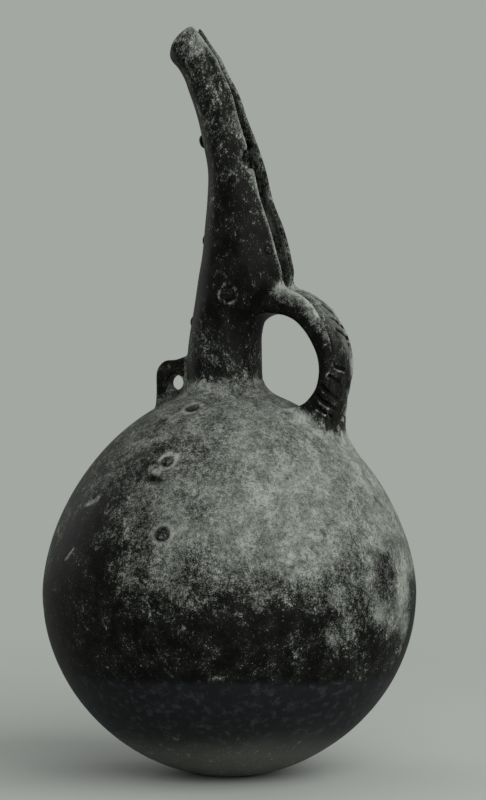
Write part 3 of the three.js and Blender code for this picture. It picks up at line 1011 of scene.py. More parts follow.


# Tones of the fired surface, with painted light and shade


@dataclass
class FiringAndLight:
    """Where the slip is limed, smooth, worn or black, as amounts from 0 to 1 at each place. Painted light
    and painted shade are mixed into the lime and black amounts.
    """

    wall: JugWall
    seats: PelletSeats
    strap: StrapHandle
    seed: int = 11

    NAMES = ("lime", "band", "worn", "black")

    def __post_init__(self) -> None:
        """Makes the noise and the clouds."""
        self.noise = HandNoise(self.seed)
        self.other = HandNoise(self.seed + 1)
        # Column and row on the picture, width in its pixels, and how much lime it adds.
        # The pale clouds along the body's right edge in the picture are partly painted light on that side.
        pictured = [
            (305, 490, 66, 0.18), (365, 470, 50, 0.14), (235, 535, 36, 0.20), (330, 430, 34, 0.14),
            (403, 622, 9, 0.40), (397, 642, 9, 0.30), (388, 658, 8, 0.24), (250, 476, 12, -0.16),
            (212, 470, 16, -0.12), (284, 408, 14, 0.10), (90, 516, 18, -0.22), (140, 606, 12, -0.20),
            (212, 606, 8, -0.18), (284, 606, 10, -0.20), (375, 520, 24, 0.12), (332, 584, 10, 0.14),
            (188, 580, 10, 0.14), (400, 560, 16, 0.12), (298, 418, 15, -0.17), (326, 434, 13, -0.12),
            (200, 500, 14, -0.14), (104, 500, 14, -0.14), (330, 630, 8, 0.24), (322, 618, 7, 0.20),
            (344, 624, 7, 0.24), (254, 590, 8, 0.18), (214, 640, 6, 0.16), (196, 590, 7, 0.16),
            (235, 480, 34, 0.14), (200, 445, 16, -0.08), (180, 500, 30, 0.16), (74, 554, 36, -0.44),
            (95, 600, 34, -0.20), (380, 553, 8, -0.24), (387, 567, 7, -0.26), (392, 610, 24, 0.62),
            (350, 556, 14, -0.12), (372, 594, 13, 0.30), (402, 600, 18, 0.24), (320, 430, 12, 0.16),
            (285, 606, 12, -0.20), (340, 610, 22, 0.40), (180, 578, 26, 0.10), (296, 640, 14, 0.24),
            (230, 412, 24, 0.10), (290, 415, 26, 0.08), (300, 572, 32, 0.24), (112, 500, 20, -0.22),
            (260, 580, 14, 0.22), (352, 660, 16, 0.16), (56, 520, 14, 0.12), (125, 430, 26, 0.16),
            (215, 600, 12, 0.16), (130, 560, 24, 0.04), (160, 415, 24, 0.12), (400, 500, 30, 0.12),
            (170, 540, 22, 0.06), (325, 628, 10, 0.24), (262, 614, 16, -0.16), (300, 655, 10, -0.10),
            (362, 580, 20, 0.16), (398, 580, 16, 0.44), (236, 574, 24, 0.10), (196, 408, 14, -0.06),
            (300, 425, 18, 0.10), (360, 640, 12, 0.12), (404, 560, 14, 0.26), (262, 600, 9, 0.20),
            (92, 534, 28, -0.36), (186, 526, 18, 0.16), (104, 420, 18, 0.34), (68, 458, 12, 0.30),
            (114, 550, 22, -0.30), (158, 536, 18, -0.14), (158, 456, 17, -0.18), (402, 582, 14, 0.30),
            (60, 560, 18, -0.20), (340, 478, 24, -0.08), (352, 500, 16, -0.10), (400, 624, 12, 0.30),
            (290, 620, 10, 0.22), (330, 606, 8, -0.10), (196, 548, 14, -0.14), (300, 574, 14, -0.12),
            (246, 436, 20, 0.14), (298, 528, 18, 0.12), (374, 608, 12, 0.60), (330, 584, 12, 0.14),
            (160, 480, 16, 0.12), (96, 585, 18, -0.10),
        ]
        self.clouds = [
            (self.wall.body.pictured(column, row), size * PIXEL, amount)
            for column, row, size, amount in pictured
        ]
        rng = np.random.default_rng(5)
        for _ in range(26):
            turn = rng.uniform(math.radians(20), math.radians(215))
            height = rng.uniform(60, 215)
            spot = self.wall.body.near_point(0, height)
            radius = math.hypot(spot[0], spot[1])
            place = np.array([radius * math.cos(turn), radius * math.sin(turn), height])
            self.clouds.append((place, rng.uniform(12, 34), rng.uniform(-0.22, 0.22)))

    def amounts(self, points: Array, outward: Array, shape: Optional[Field] = None) -> dict[str, Array]:
        """Amounts at each place.

        Args:
            points: Places on the surface in millimetres.
            outward: Way out of the clay at each place.
            shape: Field of the piece, which tells edges from hollows, or none.

        Returns:
            One array for each name in NAMES.
        """
        x, y, z = points.T
        right = rightward(points)
        slow = self.noise.layers(points, 46, 3)
        quick = self.other.layers(points, 13, 3)
        level = z + 9 * slow + 4 * quick
        upper = ramp(96, 140, level - 0.03 * right)
        # Paler towards the right in the picture: partly lime, partly painted light from the side of the key
        # lamp.
        side = np.clip(right / 95, -1, 1)
        lime = upper * (0.52 + 0.13 * side) + 0.09 * slow + 0.12 * quick
        for spot, size, amount in self.clouds:
            gap = np.linalg.norm(points - spot, axis=1) * (1 + 0.25 * quick)
            lime += amount * bell(gap, size)
        lime = self._stem_lime_and_light(points, lime, slow)
        toward = x * math.sin(VIEW_TURN) - y * math.cos(VIEW_TURN)
        edge = z - 58 - 0.07 * toward + 1.4 * quick
        band = (1 - ramp(-2.2, 2.2, edge)) * ramp(16, 36, z + 5 * slow)
        worn = 1 - ramp(6, 48, z + 6 * slow + 2 * quick)
        lime += 0.42 * worn
        black = np.zeros(len(points))
        if shape is not None:
            # Paler on convex edges and rims, partly worn crust and partly painted highlight; painted shade
            # in hollows and creases, with lime taken off and black added.
            bend = (shape(points - 1.5 * outward) + 1.5) / 0.7
            at_sill = bell(np.linalg.norm(points - [24, 0, 290], axis=1), 11)
            edge = np.clip(bend, 0, 1) * (0.75 + 0.5 * quick) * (1 - 0.75 * at_sill)
            edge *= 1 - 0.7 * ramp(0, 2, y) * ramp(296, 304, z)
            edge *= 0.1 + 0.9 * ramp(3.0, 9.0, self.wall.body.distance(points))
            lime += 0.62 * edge - 0.30 * np.clip(-bend, 0, 1)
            black += 0.5 * ramp(0.25, 1.2, -bend)
        self._mark_strap(points, lime, black, worn)
        self._mark_pellets(points, lime, black)
        self._mark_scars(points, lime, black)
        amounts = (lime, band, worn, black)
        return {name: np.clip(values, 0, 1) for name, values in zip(self.NAMES, amounts)}

    def _stem_lime_and_light(self, points: Array, lime: Array, slow: Array) -> Array:
        """Lime on the neck, spout, handle and lug, in upright streaks, with painted highlights and painted
        shade.

        Args:
            points: Places in millimetres, one row each.
            lime: Lime of the round body at each place.
            slow: Slow noise at each place.

        Returns:
            Lime of the whole jug at each place.
        """
        x, y, z = points.T
        form = self.wall.stem
        tube = form.tube(points)
        away = self.wall.body.distance(points)
        streaks = self.noise(points, (7, 7, 34)) * 0.6 + self.other(points, (3.5, 3.5, 15)) * 0.4
        # Lime up the outside by height, and the patches on it.
        up, most = zip(
            (228, 0.36), (242, 0.14), (254, 0.15), (266, 0.14), (281, -0.02), (300, -0.05), (311, -0.09),
            (326, 0.00), (341, 0.11), (356, 0.04), (371, 0.14), (386, 0.25), (398, 0.20), (410, 0.16),
            (422, 0.15), (452, 0.22),
        )
        stem = np.interp(z, up, most) + 0.17 * streaks + 0.08 * slow
        stem += 0.20 * patch(points, (8, -24, 246), (14, 12, 9))
        # Paler inside the bore: partly lime deposited in the spout, partly painted light standing in for
        # the light that falls in through the open back.
        inside = ramp(0.8, 2.4, -tube) * ramp(284, 296, z)
        stem += inside * (0.34 + 0.26 * bell(z - 334, 30) + 0.24 * streaks - stem)
        stem += (0.10 + 0.30 * streaks) * patch(points, (33, 0, 293), (9, 14, 5))
        # Painted highlight where the spout's tip faces up, and painted shade on the bulge below it that
        # turns away.
        stem += 0.46 * patch(points, (-15.5, -8, 438), (4.5, 8, 10))
        stem -= 0.24 * patch(points, (-34, -7, 434), (6, 9, 9))
        stem -= 0.25 * patch(points, (22, -16, 272), (14, 14, 16))
        # Painted highlight along the two rims, stronger on the near one, and painted light along the
        # spout's left side in the picture.
        rim = bell(np.abs(y) - form.gap(z) - 0.9, 0.8) * ramp(2, 6, x - form.centre(z))
        line = (0.62 + 0.40 * (1 - ramp(348, 372, z))) * ramp(296, 306, z)
        stem += line * rim * ramp(-2.0, -0.5, tube) * np.where(y < 0, 1, 0.3)
        stem += 0.08 * ramp(4, 16, -rightward(points) - 8)
        # Handle and lug, which fade out on the body.
        strap = 0.16 + 0.18 * ramp(262, 286, z) + 0.12 * streaks + 0.16 * self.other(points, 8)
        strap -= 0.14 * bell(z - 230, 15) + 0.12 * bell(z - 235, 7)
        handle = ramp(33, 39, x) * (1 - ramp(292, 300, z)) * ramp(2.4, 9.5, away + 2.5 * slow)
        lug = ramp(25, 30, -x) * (1 - ramp(256, 262, z)) * ramp(3.0, 8.5, away + 2.0 * slow)
        stem = stem * (1 - handle) + strap * handle
        stem = stem * (1 - lug) + (0.10 * streaks - 0.28) * lug
        # Neck's foot: painted shade in the corner beside the lug, and a painted highlight along the line
        # where the neck meets the shoulder.
        corner = patch(points, (-8, -26, 238.5), (13, 12, 6))
        stem -= 0.28 * corner
        neck = ramp(233.5, 237.5, z + 1.2 * slow + 1.5 * corner)
        share = np.maximum(np.maximum(neck, handle), lug)
        line = bell(z - 234.6 - 0.8 * slow, 1.5) * (1 - handle) * (1 - lug)
        line *= ramp(-0.7, 0.5, slow + x / 30)
        line *= np.clip(0.65 + 1.2 * self.other(points, 9), 0, 1) * (1 - 0.8 * corner)
        return lime * (1 - share) + stem * share + 0.36 * line

    def _mark_strap(self, points: Array, lime: Array, black: Array, worn: Array) -> None:
        """Raised edges paler, partly lime and partly painted highlight, worn rib, and painted shade in the
        channels, on the inner side and in the strokes, written into the arrays.

        Args:
            points: Places in millimetres, one row each.
            lime: Lime at each place, which is written into.
            black: Black at each place, which is written into.
            worn: Wear at each place, which is written into.
        """
        x, y, z = points.T
        near = (x > 28) & (z > 196) & (z < 300) & (np.abs(y) < 24)
        spots = points[near]
        share, out = self.strap.flat(spots)
        part = spots[:, 1] / self.strap.half_wide(share)
        gap = self.strap.strap(spots)
        patchy = np.clip(0.75 + 1.3 * self.other(spots, 5), 0, 1)
        here = (1 - ramp(1.0, 4.0, gap)) * ramp(0.10, 0.18, share)
        face = ramp(0, 2, out) * here
        # Raised edges of the upper strap paler, partly lime and partly painted highlight; painted shade in
        # its channels and on its inner side.
        ridge = bell(part + 0.92, 0.08) * (1 - ramp(0.60, 0.70, share))
        ridge *= 1 - 0.8 * ramp(0.47, 0.56, share)
        ridge += 0.5 * bell(part - 0.93, 0.12)
        ridge += 1.6 * bell(share - 0.56, 0.14) * ramp(0.45, 0.80, part)
        channel = bell(part + 0.69, 0.08) * (1 - ramp(0.54, 0.66, share))
        channel += 0.3 * bell(part - 0.72, 0.07) * (1 - ramp(0.40, 0.56, share))
        lower = ramp(0.3, 0.5, share)
        within = (1 - ramp(-4.5 + 2.5 * lower, -0.5 + 2.0 * lower, out)) * here
        within *= 1 - ramp(0.76, 0.86, share)
        upper = 1 - ramp(0.36, 0.62, share)
        lime[near] += face * (0.5 * ridge * patchy - 0.4 * channel + 0.26 * upper + 0.10 * part)
        lime[near] -= 0.60 * within
        black[near] += 0.7 * channel * face + 0.55 * within
        # Rib worn down to the clay, and the darker stretch under it.
        blotched = 0.62 + 1.5 * self.noise(spots, 6) + 0.7 * self.other(spots, 2.4)
        later = ramp(0.47, 0.56, share)
        rib = ramp(-0.65 + 0.45 * later, 0.35 + 0.25 * later, part) * ramp(0.28, 0.38, share) * face
        rib *= 1 - ramp(0.50, 0.62, share - 0.04 * part)
        lime[near] *= 1 - 0.35 * rib
        lime[near] += 0.24 * rib * (1 - ramp(0.45, 0.52, share))
        lime[near] -= 0.14 * later * (1 - ramp(-0.3, 0.4, part)) * face
        worn[near] += rib * (1.30 - 0.45 * ramp(0.34, 0.50, share)) * np.clip(blotched, 0, 1)
        between = face * ramp(0.58, 0.66, share) * (1 - ramp(0.80, 0.88, share))
        lime[near] -= 0.10 * between
        # Flaked crust at the heel, and rough specks between the strokes.
        heel = ramp(0.72, 0.80, share) * (1 - ramp(3.0, 12.0, gap))
        flaked = self.other(spots, 4)
        bare = ramp(261, 275, spots[:, 2] + rightward(spots) + 9 * flaked)
        chipped = bare * ramp(201, 206, spots[:, 2]) * (1 - ramp(209, 216, spots[:, 2]))
        chipped *= np.clip(0.6 + 1.6 * flaked, 0, 1)
        raised = ramp(0.5, 4.0, self.wall.body.distance(spots))
        lime[near] += heel * (0.30 * (1 - bare) * raised - 0.55 * chipped)
        lime[near] -= 0.24 * heel * (1 - bare) * np.clip(0.5 + 1.6 * self.noise(spots, 6), 0, 1)
        rough = ramp(0.62, 0.70, share) * (1 - ramp(0.86, 0.92, share)) * ramp(0.0, 0.5, part) * face
        specks = ramp(0.02, 0.36, self.noise(spots, 2.8))
        lime[near] += 0.55 * specks * rough
        black[near] += 0.40 * (1 - specks) * rough
        # Painted shade in each incised stroke, and a painted highlight on the lip below some of them.
        for stroke in self.strap.strokes:
            gap = self.strap.stroke_gap(spots, stroke)
            black[near] += (0.5 + 0.6 * patchy) * (1 - ramp(stroke.depth * 0.9, stroke.depth * 1.4, gap))
            if stroke.lip:
                below = self.strap.stroke_gap(spots + [0, 0, stroke.depth + stroke.lip], stroke)
                lime[near] += 0.90 * bell(below, 0.7) * (0.2 + 0.8 * patchy)

    def _mark_pellets(self, points: Array, lime: Array, black: Array) -> None:
        """Pale lime ring and painted shade in the crease round each pellet, written into the two arrays.

        Args:
            points: Places in millimetres, one row each.
            lime: Lime at each place, which is written into.
            black: Black at each place, which is written into.
        """
        for row, spot in zip(self.seats.rows, self.seats.spots):
            gap = np.linalg.norm(points - spot, axis=1)
            near = gap < row.radius + 9
            turned = self.noise(points[near], 4) * 0.8
            ring = bell(gap[near] - row.radius - 1.9 - 0.8 * turned, 1.3)
            lime[near] += row.ring * ring * np.clip(0.75 + 1.2 * turned, 0, 1)
            lime[near] += row.face * (1 - ramp(row.radius - 0.8, row.radius + 0.6, gap[near]))
            # Painted shade in the crease round the pellet.
            black[near] += 0.8 * bell(gap[near] - row.radius - 0.1, 0.7)

    def _mark_scars(self, points: Array, lime: Array, black: Array) -> None:
        """Old scars: a pale lozenge, a pale streak, dark nicks at the right edge, and painted shade in a
        pit on the far rim.

        Args:
            points: Places in millimetres, one row each.
            lime: Lime at each place, which is written into.
            black: Black at each place, which is written into.
        """
        # Both ends on the picture, width in millimetres, and how pale and how black it is.
        lines = [
            ((93, 500), (103, 494), 1.6, 1.3, 0), ((95, 498.5), (101, 495), 0.9, -1.3, 0.4),
            ((71, 554), (80, 543), 1.1, 1.2, 0), ((158, 467), (162, 469), 1.2, 1.0, 0),
            ((156, 474), (162, 476), 2.4, -0.4, 0.5), ((210, 662), (222, 659), 1.3, 0.45, 0),
            ((372, 496), (378, 502), 1.2, 0, 0.9), ((317, 523), (321, 527), 1.2, 0, 0.9),
            ((400, 522), (404, 528), 1.5, 0, 1.0), ((405, 535), (407, 541), 1.4, 0, 1.0),
            ((402, 528), (406, 590), 0.9, 0, 0.5), ((384, 548), (381, 560), 1.3, -0.2, 0.3),
        ]
        for start, end, width, pale, dark in lines:
            body = self.wall.body
            scar = bell(line_gap(points, body.pictured(*start), body.pictured(*end)), width)
            lime += pale * scar
            black += dark * scar
        # Painted shade: a dark spot where a shadowed pit shows on the far rim.
        black += 1.2 * patch(points, (4.6, 3.2, 405.4), (3.0, 3.0, 1.3))


# Meshes


def plain_object(name: str, points: Array, faces: Array) -> Object:
    """Smooth-shaded object at the origin from points in millimetres.

    Args:
        name: Name of the piece.
        points: Its points, one row each.
        faces: Its quads, one row each.

    Returns:
        The object, linked to the scene.
    """
    mesh = bpy.data.meshes.new(name)
    mesh.from_pydata((points * MM).tolist(), [], faces.tolist())
    mesh.validate()
    mesh.polygons.foreach_set("use_smooth", np.ones(len(mesh.polygons), bool))
    mesh.update()
    return linked(name, mesh)


def linked(name: str, data: object) -> Object:
    """Object made from its data and linked to the scene.

    Args:
        name: Name of the object.
        data: Its mesh, lamp or camera.

    Returns:
        The object.
    """
    made = bpy.data.objects.new(name, data)
    bpy.context.scene.collection.objects.link(made)
    return made


def write_layer(mesh: Mesh, name: str, values: Array) -> None:
    """Writes one number, or one direction, for each point of a mesh.

    Args:
        mesh: The mesh.
        name: Name of the layer.
        values: One number or three for each point.
    """
    is_way = values.ndim == 2
    layer = mesh.attributes.new(name, "FLOAT_VECTOR" if is_way else "FLOAT", "POINT")
    layer.data.foreach_set("vector" if is_way else "value", values.astype(np.float32).ravel())


def add_node(tree: NodeTree, kind: str, inputs: Optional[dict] = None, **settings) -> Node:
    """Adds a node with its settings, and fills or links its inputs.

    Args:
        tree: Shader or geometry tree.
        kind: Node type.
        inputs: Value or socket for each input, by name or place.
        **settings: Attributes of the node.

    Returns:
        The node.
    """
    node = tree.nodes.new(kind)
    for name, value in settings.items():
        setattr(node, name, value)
    for name, value in (inputs or {}).items():
        socket = node.inputs[name]
        if isinstance(value, NodeSocket):
            tree.links.new(value, socket)
        else:
            socket.default_value = value
    return node


def add_sum(tree: NodeTree, operation: str, *values: object) -> NodeSocket:
    """Adds one sum of up to three numbers or sockets, and gives its result."""
    return add_node(tree, "ShaderNodeMath", dict(enumerate(values)), operation=operation).outputs[0]


class GrownPiece:
    """Geometry Nodes tree with named inputs that is grown once and kept as a plain mesh."""

    def __init__(self, name: str) -> None:
        """Starts an empty tree.

        Args:
            name: Name of the tree.
        """
        self.tree = bpy.data.node_groups.new(name, "GeometryNodeTree")
        self.tree.is_modifier = True
        self.tree.interface.new_socket("Geometry", in_out="OUTPUT", socket_type="NodeSocketGeometry")
        self.values: dict[str, object] = {}

    def ask(self, name: str, kind: str, value: object = None) -> None:
        """Adds a named input with the value it is grown with, or the one that the base mesh comes in by.

        Args:
            name: Name of the input.
            kind: Kind of its socket.
            value: Its value, or none for the mesh.
        """
        socket = self.tree.interface.new_socket(name, in_out="INPUT", socket_type="NodeSocket" + kind)
        if value is not None:
            self.values[socket.identifier] = value

    def node(self, kind: str, inputs: Optional[dict] = None, **settings) -> Node:
        """Adds a node to this tree."""
        return add_node(self.tree, kind, inputs, **settings)

    def span(self, value: NodeSocket, *ends: object) -> NodeSocket:
        """Value carried from one range to another, given by the ends of both."""
        names = ("From Min", "From Max", "To Min", "To Max")
        return self.node("ShaderNodeMapRange", {"Value": value, **dict(zip(names, ends))}).outputs[0]

    def hand_out(self, shape: NodeSocket, finish: NodeSocket) -> None:
        """Ends the tree: smooth, real and in its finish.

        Args:
            shape: Socket of the geometry.
            finish: Socket of the material.
        """
        for kind in ("GeometryNodeSetShadeSmooth", "GeometryNodeRealizeInstances"):
            shape = self.node(kind, {"Geometry": shape}).outputs[0]
        done = self.node("GeometryNodeSetMaterial", {"Geometry": shape, "Material": finish})
        self.node("NodeGroupOutput", {"Geometry": done.outputs[0]})

    def grow(self, name: str, base: Optional[Mesh] = None) -> Object:
        """Evaluates the tree and keeps its result.

        Args:
            name: Name of the piece.
            base: Mesh that the tree works on, or none.

        Returns:
            A plain mesh object with no modifier.
        """
        mesh = base or bpy.data.meshes.new(name + "_seed")
        holder = linked(name + "_holder", mesh)
        modifier = holder.modifiers.new("grow", "NODES")
        modifier.node_group = self.tree
        for identifier, value in self.values.items():
            modifier[identifier] = value
        graph = bpy.context.evaluated_depsgraph_get()
        graph.update()
        grown = bpy.data.meshes.new_from_object(holder.evaluated_get(graph))
        grown.name = name
        holder.modifiers.clear()
        bpy.data.objects.remove(holder)
        return linked(name, grown)


@dataclass
class BodyHalf:
    """Half of the round body as a turned shell with an outer and an inner skin."""

    body: BodyForm
    is_shoulder: bool
    sides: int = 480
    outer_rows: int = 118
    inner_rows: int = 22
    opening: float = 18.5

    def tree(self, finish: Material) -> GrownPiece:
        """Tree that bends a level grid into the shell.

        Args:
            finish: Material that the tree sets.

        Returns:
            The tree, ready to grow.
        """
        body = self.body
        power = body.upper_power if self.is_shoulder else body.lower_power
        reach = body.shoulder_rise if self.is_shoulder else body.depth
        coarse = 1
        grown = GrownPiece("turned_shoulder" if self.is_shoulder else "turned_bowl")
        grown.ask("Radius", "Float", body.radius * MM)
        grown.ask("Reach", "Float", reach * MM)
        grown.ask("Power", "Float", power)
        grown.ask("Wall", "Float", body.wall * MM)
        grown.ask("Widest Height", "Float", body.widest * MM)
        grown.ask("Sides", "Int", self.sides // coarse)
        grown.ask("Outer Rows", "Int", self.outer_rows // coarse)
        grown.ask("Inner Rows", "Int", self.inner_rows // coarse)
        grown.ask("Pole Angle", "Float", self._pole_angle(power))
        grown.ask("Finish", "Material", finish)
        sums = partial(add_sum, grown.tree)
        given = grown.node("NodeGroupInput").outputs
        rows = sums("ADD", given["Outer Rows"], given["Inner Rows"])
        grid = grown.node("GeometryNodeMeshGrid", {
            "Vertices X": sums("ADD", given["Sides"], 1.0), "Vertices Y": sums("ADD", rows, 1.0),
        })
        here = grown.node("GeometryNodeInputPosition").outputs[0]
        place = grown.node("ShaderNodeSeparateXYZ", {0: here}).outputs
        turn = sums("MULTIPLY", sums("ADD", place["X"], 0.5), 2 * math.pi)
        row = sums("MULTIPLY", sums("ADD", place["Y"], 0.5), rows)
        # Rows run up the outer skin from the seam to the pole, back down the inner skin, and end where
        # they began.
        last_outer = sums("SUBTRACT", given["Outer Rows"], 1.0)
        out = grown.span(row, 0.0, last_outer, 0.0, given["Pole Angle"])
        back = grown.span(row, given["Outer Rows"], sums("SUBTRACT", rows, 1.0), given["Pole Angle"], 0.0)
        past = sums("GREATER_THAN", row, sums("ADD", last_outer, 0.5))
        going_on = sums("SUBTRACT", 1.0, sums("GREATER_THAN", row, sums("SUBTRACT", rows, 0.5)))
        inner = sums("MULTIPLY", past, going_on)
        angle = sums("ADD", out, sums("MULTIPLY", inner, sums("SUBTRACT", back, out)))
        angle = sums("MULTIPLY", angle, going_on)
        thinner = sums("MULTIPLY", inner, given["Wall"])
        bend = sums("DIVIDE", 2.0, given["Power"])

        def reached(most: NodeSocket, wave: str) -> NodeSocket:
            """Way from the middle along one axis of the superellipse."""
            held = sums("MAXIMUM", sums(wave, angle), 0.0)
            return sums("MULTIPLY", sums("SUBTRACT", most, thinner), sums("POWER", held, bend))

        across = reached(given["Radius"], "COSINE")
        rise = sums("MULTIPLY", reached(given["Reach"], "SINE"), 1.0 if self.is_shoulder else -1.0)
        spot = grown.node("ShaderNodeCombineXYZ", {
            "X": sums("MULTIPLY", across, sums("COSINE", turn)),
            "Y": sums("MULTIPLY", across, sums("SINE", turn)),
            "Z": sums("MAXIMUM", sums("ADD", given["Widest Height"], rise), 0.0),
        })
        bent = grown.node("GeometryNodeSetPosition", {
            "Geometry": grid.outputs["Mesh"], "Position": spot.outputs[0],
        })
        merged = grown.node("GeometryNodeMergeByDistance", {"Geometry": bent.outputs[0], "Distance": 2e-6})
        grown.hand_out(merged.outputs[0], given["Finish"])
        return grown

    def _pole_angle(self, power: float) -> float:
        """Angle at which the outer skin ends, at the pole or at the opening under the neck.

        Args:
            power: Power of the half's curve.

        Returns:
            The angle in radians.
        """
        if not self.is_shoulder:
            return math.pi / 2
        return math.acos((self.opening / self.body.radius) ** (power / 2))

    def build(self, finish: Material) -> Object:
        """Grows the half and gives its outer skin the hand-built unevenness and its old chips.

        Args:
            finish: Material that the piece gets.

        Returns:
            The piece.
        """
        made = self.tree(finish).grow("shoulder" if self.is_shoulder else "bowl")
        points = read_points(made) / MM
        outside = np.abs(self.body.distance(points) - self.body.hollow(points)) < 1.0
        raised = points[outside]
        depth = self.body.hollow(raised) + self.pits(raised)
        points[outside] = raised - unit(direction(self.body.distance, raised)) * depth[:, None]
        write_points(made, points)
        face_outwards(made)
        self.match_seam(made)
        return made

    def skin(self, points: Array) -> Array:
        """Field of the uneven outer skin."""
        return self.body.distance(points) + self.body.hollow(points) + self.pits(points)

    def match_seam(self, made: Object) -> None:
        """Gives the ring where the halves meet the whole body's normals, so that light runs across it.

        Args:
            made: The half.
        """
        points = read_points(made) / MM
        radius = np.hypot(points[:, 0], points[:, 1])
        ring = (np.abs(points[:, 2] - self.body.widest) < 0.05) & (radius > self.body.radius - 2.5)
        normals = np.zeros((len(points), 3))
        normals[ring] = unit(direction(self.skin, points[ring], 0.9))
        made.data.normals_split_custom_set_from_vertices(normals.tolist())

    def pits(self, points: Array) -> Array:
        """Depth in millimetres of the old chips and pits of the outer skin.

        Args:
            points: Places in millimetres, one row each.

        Returns:
            One depth for each row.
        """
        depth = np.zeros(len(points))
        # Column and row on the picture, width and depth in millimetres.
        chips = [
            (98, 497, 3.4, 0.8), (161, 472, 2.6, 0.6), (402, 525, 3.2, 1.3), (406, 538, 3.0, 1.2),
            (375, 499, 2.6, 0.6), (319, 525, 2.4, 0.5), (210, 664, 2.8, 0.5), (409, 566, 3.6, 0.8),
        ]
        for column, row, size, deep in chips:
            depth += deep * bell(np.linalg.norm(points - self.body.pictured(column, row), axis=1), size)
        rng = np.random.default_rng(23)
        for _ in range(110):
            turn = rng.uniform(0, 2 * math.pi)
            height = rng.uniform(20, 200)
            radius = np.linalg.norm(self.body.near_point(0, height)[:2])
            spot = np.array([radius * math.cos(turn), radius * math.sin(turn), height])
            deep = rng.uniform(0.12, 0.45)
            depth += deep * bell(np.linalg.norm(points - spot, axis=1), rng.uniform(1.8, 4.5))
        return depth


def read_points(made: Object) -> Array:
    """Points of an object's mesh in metres.

    Args:
        made: The object.

    Returns:
        One row for each point.
    """
    points = np.empty(len(made.data.vertices) * 3)
    made.data.vertices.foreach_get("co", points)
    return points.reshape(-1, 3)


def write_points(made: Object, points: Array) -> None:
    """Writes points in millimetres back to an object's mesh."""
    made.data.vertices.foreach_set("co", (points * MM).ravel())
    made.data.update()


def face_outwards(made: Object) -> None:
    """Turns the mesh's faces so that its volume is more than 0.

    Args:
        made: The object.
    """
    mesh = made.data
    mesh.calc_loop_triangles()
    points = read_points(made)
    corners = np.empty(len(mesh.loop_triangles) * 3, int)
    mesh.loop_triangles.foreach_get("vertices", corners)
    a, b, c = points[corners.reshape(-1, 3)].transpose(1, 0, 2)
    if np.einsum("ij,ij->i", a, np.cross(b, c)).sum() < 0:
        mesh.flip_normals()


@dataclass
class PelletRow:
    """Applied pellets grown as flattened balls on their seats."""

    seats: PelletSeats
    sides: int = 28
    rings: int = 14
    dimple: float = 0.22
    wobble: float = 0.35
    wave: float = 420.0

    def build(self, finish: Material) -> Object:
        """Grows all pellets as one piece.

        Args:
            finish: Material that the piece gets.

        Returns:
            The piece.
        """
        rows = self.seats.rows
        mesh = bpy.data.meshes.new("pellet_seats")
        mesh.from_pydata((self.seats.spots * MM).tolist(), [], [])
        write_layer(mesh, "facing", self.seats.outward)
        write_layer(mesh, "size", np.array([row.radius * MM for row in rows]))
        write_layer(mesh, "flat", np.array([row.proud / row.radius for row in rows]))
        grown = GrownPiece("applied_pellets")
        grown.ask("Seats", "Geometry")
        grown.ask("Sides", "Int", self.sides)
        grown.ask("Rings", "Int", self.rings)
        grown.ask("Dimple", "Float", self.dimple)
        grown.ask("Wobble", "Float", self.wobble * MM)
        grown.ask("Finish", "Material", finish)
        sums = partial(add_sum, grown.tree)
        given = grown.node("NodeGroupInput").outputs
        ball = grown.node("GeometryNodeMeshUVSphere", {
            "Segments": given["Sides"], "Rings": given["Rings"], "Radius": 1.0,
        })
        here = grown.node("GeometryNodeInputPosition").outputs[0]
        x, y, z = grown.node("ShaderNodeSeparateXYZ", {0: here}).outputs
        squared = sums("ADD", sums("MULTIPLY", x, x), sums("MULTIPLY", y, y))
        middle = sums("POWER", math.e, sums("MULTIPLY", squared, -5.0))
        kept = sums("SUBTRACT", 1.0, sums("MULTIPLY", middle, given["Dimple"]))
        pressed = grown.node("ShaderNodeCombineXYZ", {"X": x, "Y": y, "Z": sums("MULTIPLY", z, kept)})
        dented = grown.node("GeometryNodeSetPosition", {
            "Geometry": ball.outputs["Mesh"], "Position": pressed.outputs[0],
        })
        named = "GeometryNodeInputNamedAttribute"
        facing, size, flatness = (
            grown.node(named, {"Name": name}, data_type=kind).outputs["Attribute"]
            for name, kind in (("facing", "FLOAT_VECTOR"), ("size", "FLOAT"), ("flat", "FLOAT"))
        )
        turned = grown.node("FunctionNodeAlignRotationToVector", {"Vector": facing}, axis="Z")
        scale = grown.node("ShaderNodeCombineXYZ", {
            "X": size, "Y": size, "Z": sums("MULTIPLY", size, flatness),
        })
        set_on = grown.node("GeometryNodeInstanceOnPoints", {
            "Points": given["Seats"],
            "Instance": dented.outputs[0],
            "Rotation": turned.outputs[0],
            "Scale": scale.outputs[0],
        })
        real = grown.node("GeometryNodeRealizeInstances", {"Geometry": set_on.outputs[0]})
        wave = grown.node("ShaderNodeTexNoise", {"Scale": self.wave, "Detail": 1.0}).outputs["Color"]
        shift = grown.node("ShaderNodeVectorMath", {0: wave, 1: (0.5, 0.5, 0.5)}, operation="SUBTRACT")
        scaled = grown.node("ShaderNodeVectorMath", {
            0: shift.outputs[0], "Scale": given["Wobble"],
        }, operation="SCALE")
        uneven = grown.node("GeometryNodeSetPosition", {
            "Geometry": real.outputs[0], "Offset": scaled.outputs[0],
        })
        grown.hand_out(uneven.outputs[0], given["Finish"])
        return grown.grow("pellets", mesh)


# Finishes


def linear(colour: str) -> tuple[float, float, float, float]:
    """Linear colour from an sRGB hex value such as 2b2a28.

    Args:
        colour: Six hex digits.

    Returns:
        Red, green, blue and alpha.
    """
    parts = [int(colour[place : place + 2], 16) / 255 for place in (0, 2, 4)]
    turned = [part / 12.92 if part <= 0.04045 else ((part + 0.055) / 1.055) ** 2.4 for part in parts]
    return (*turned, 1.0)


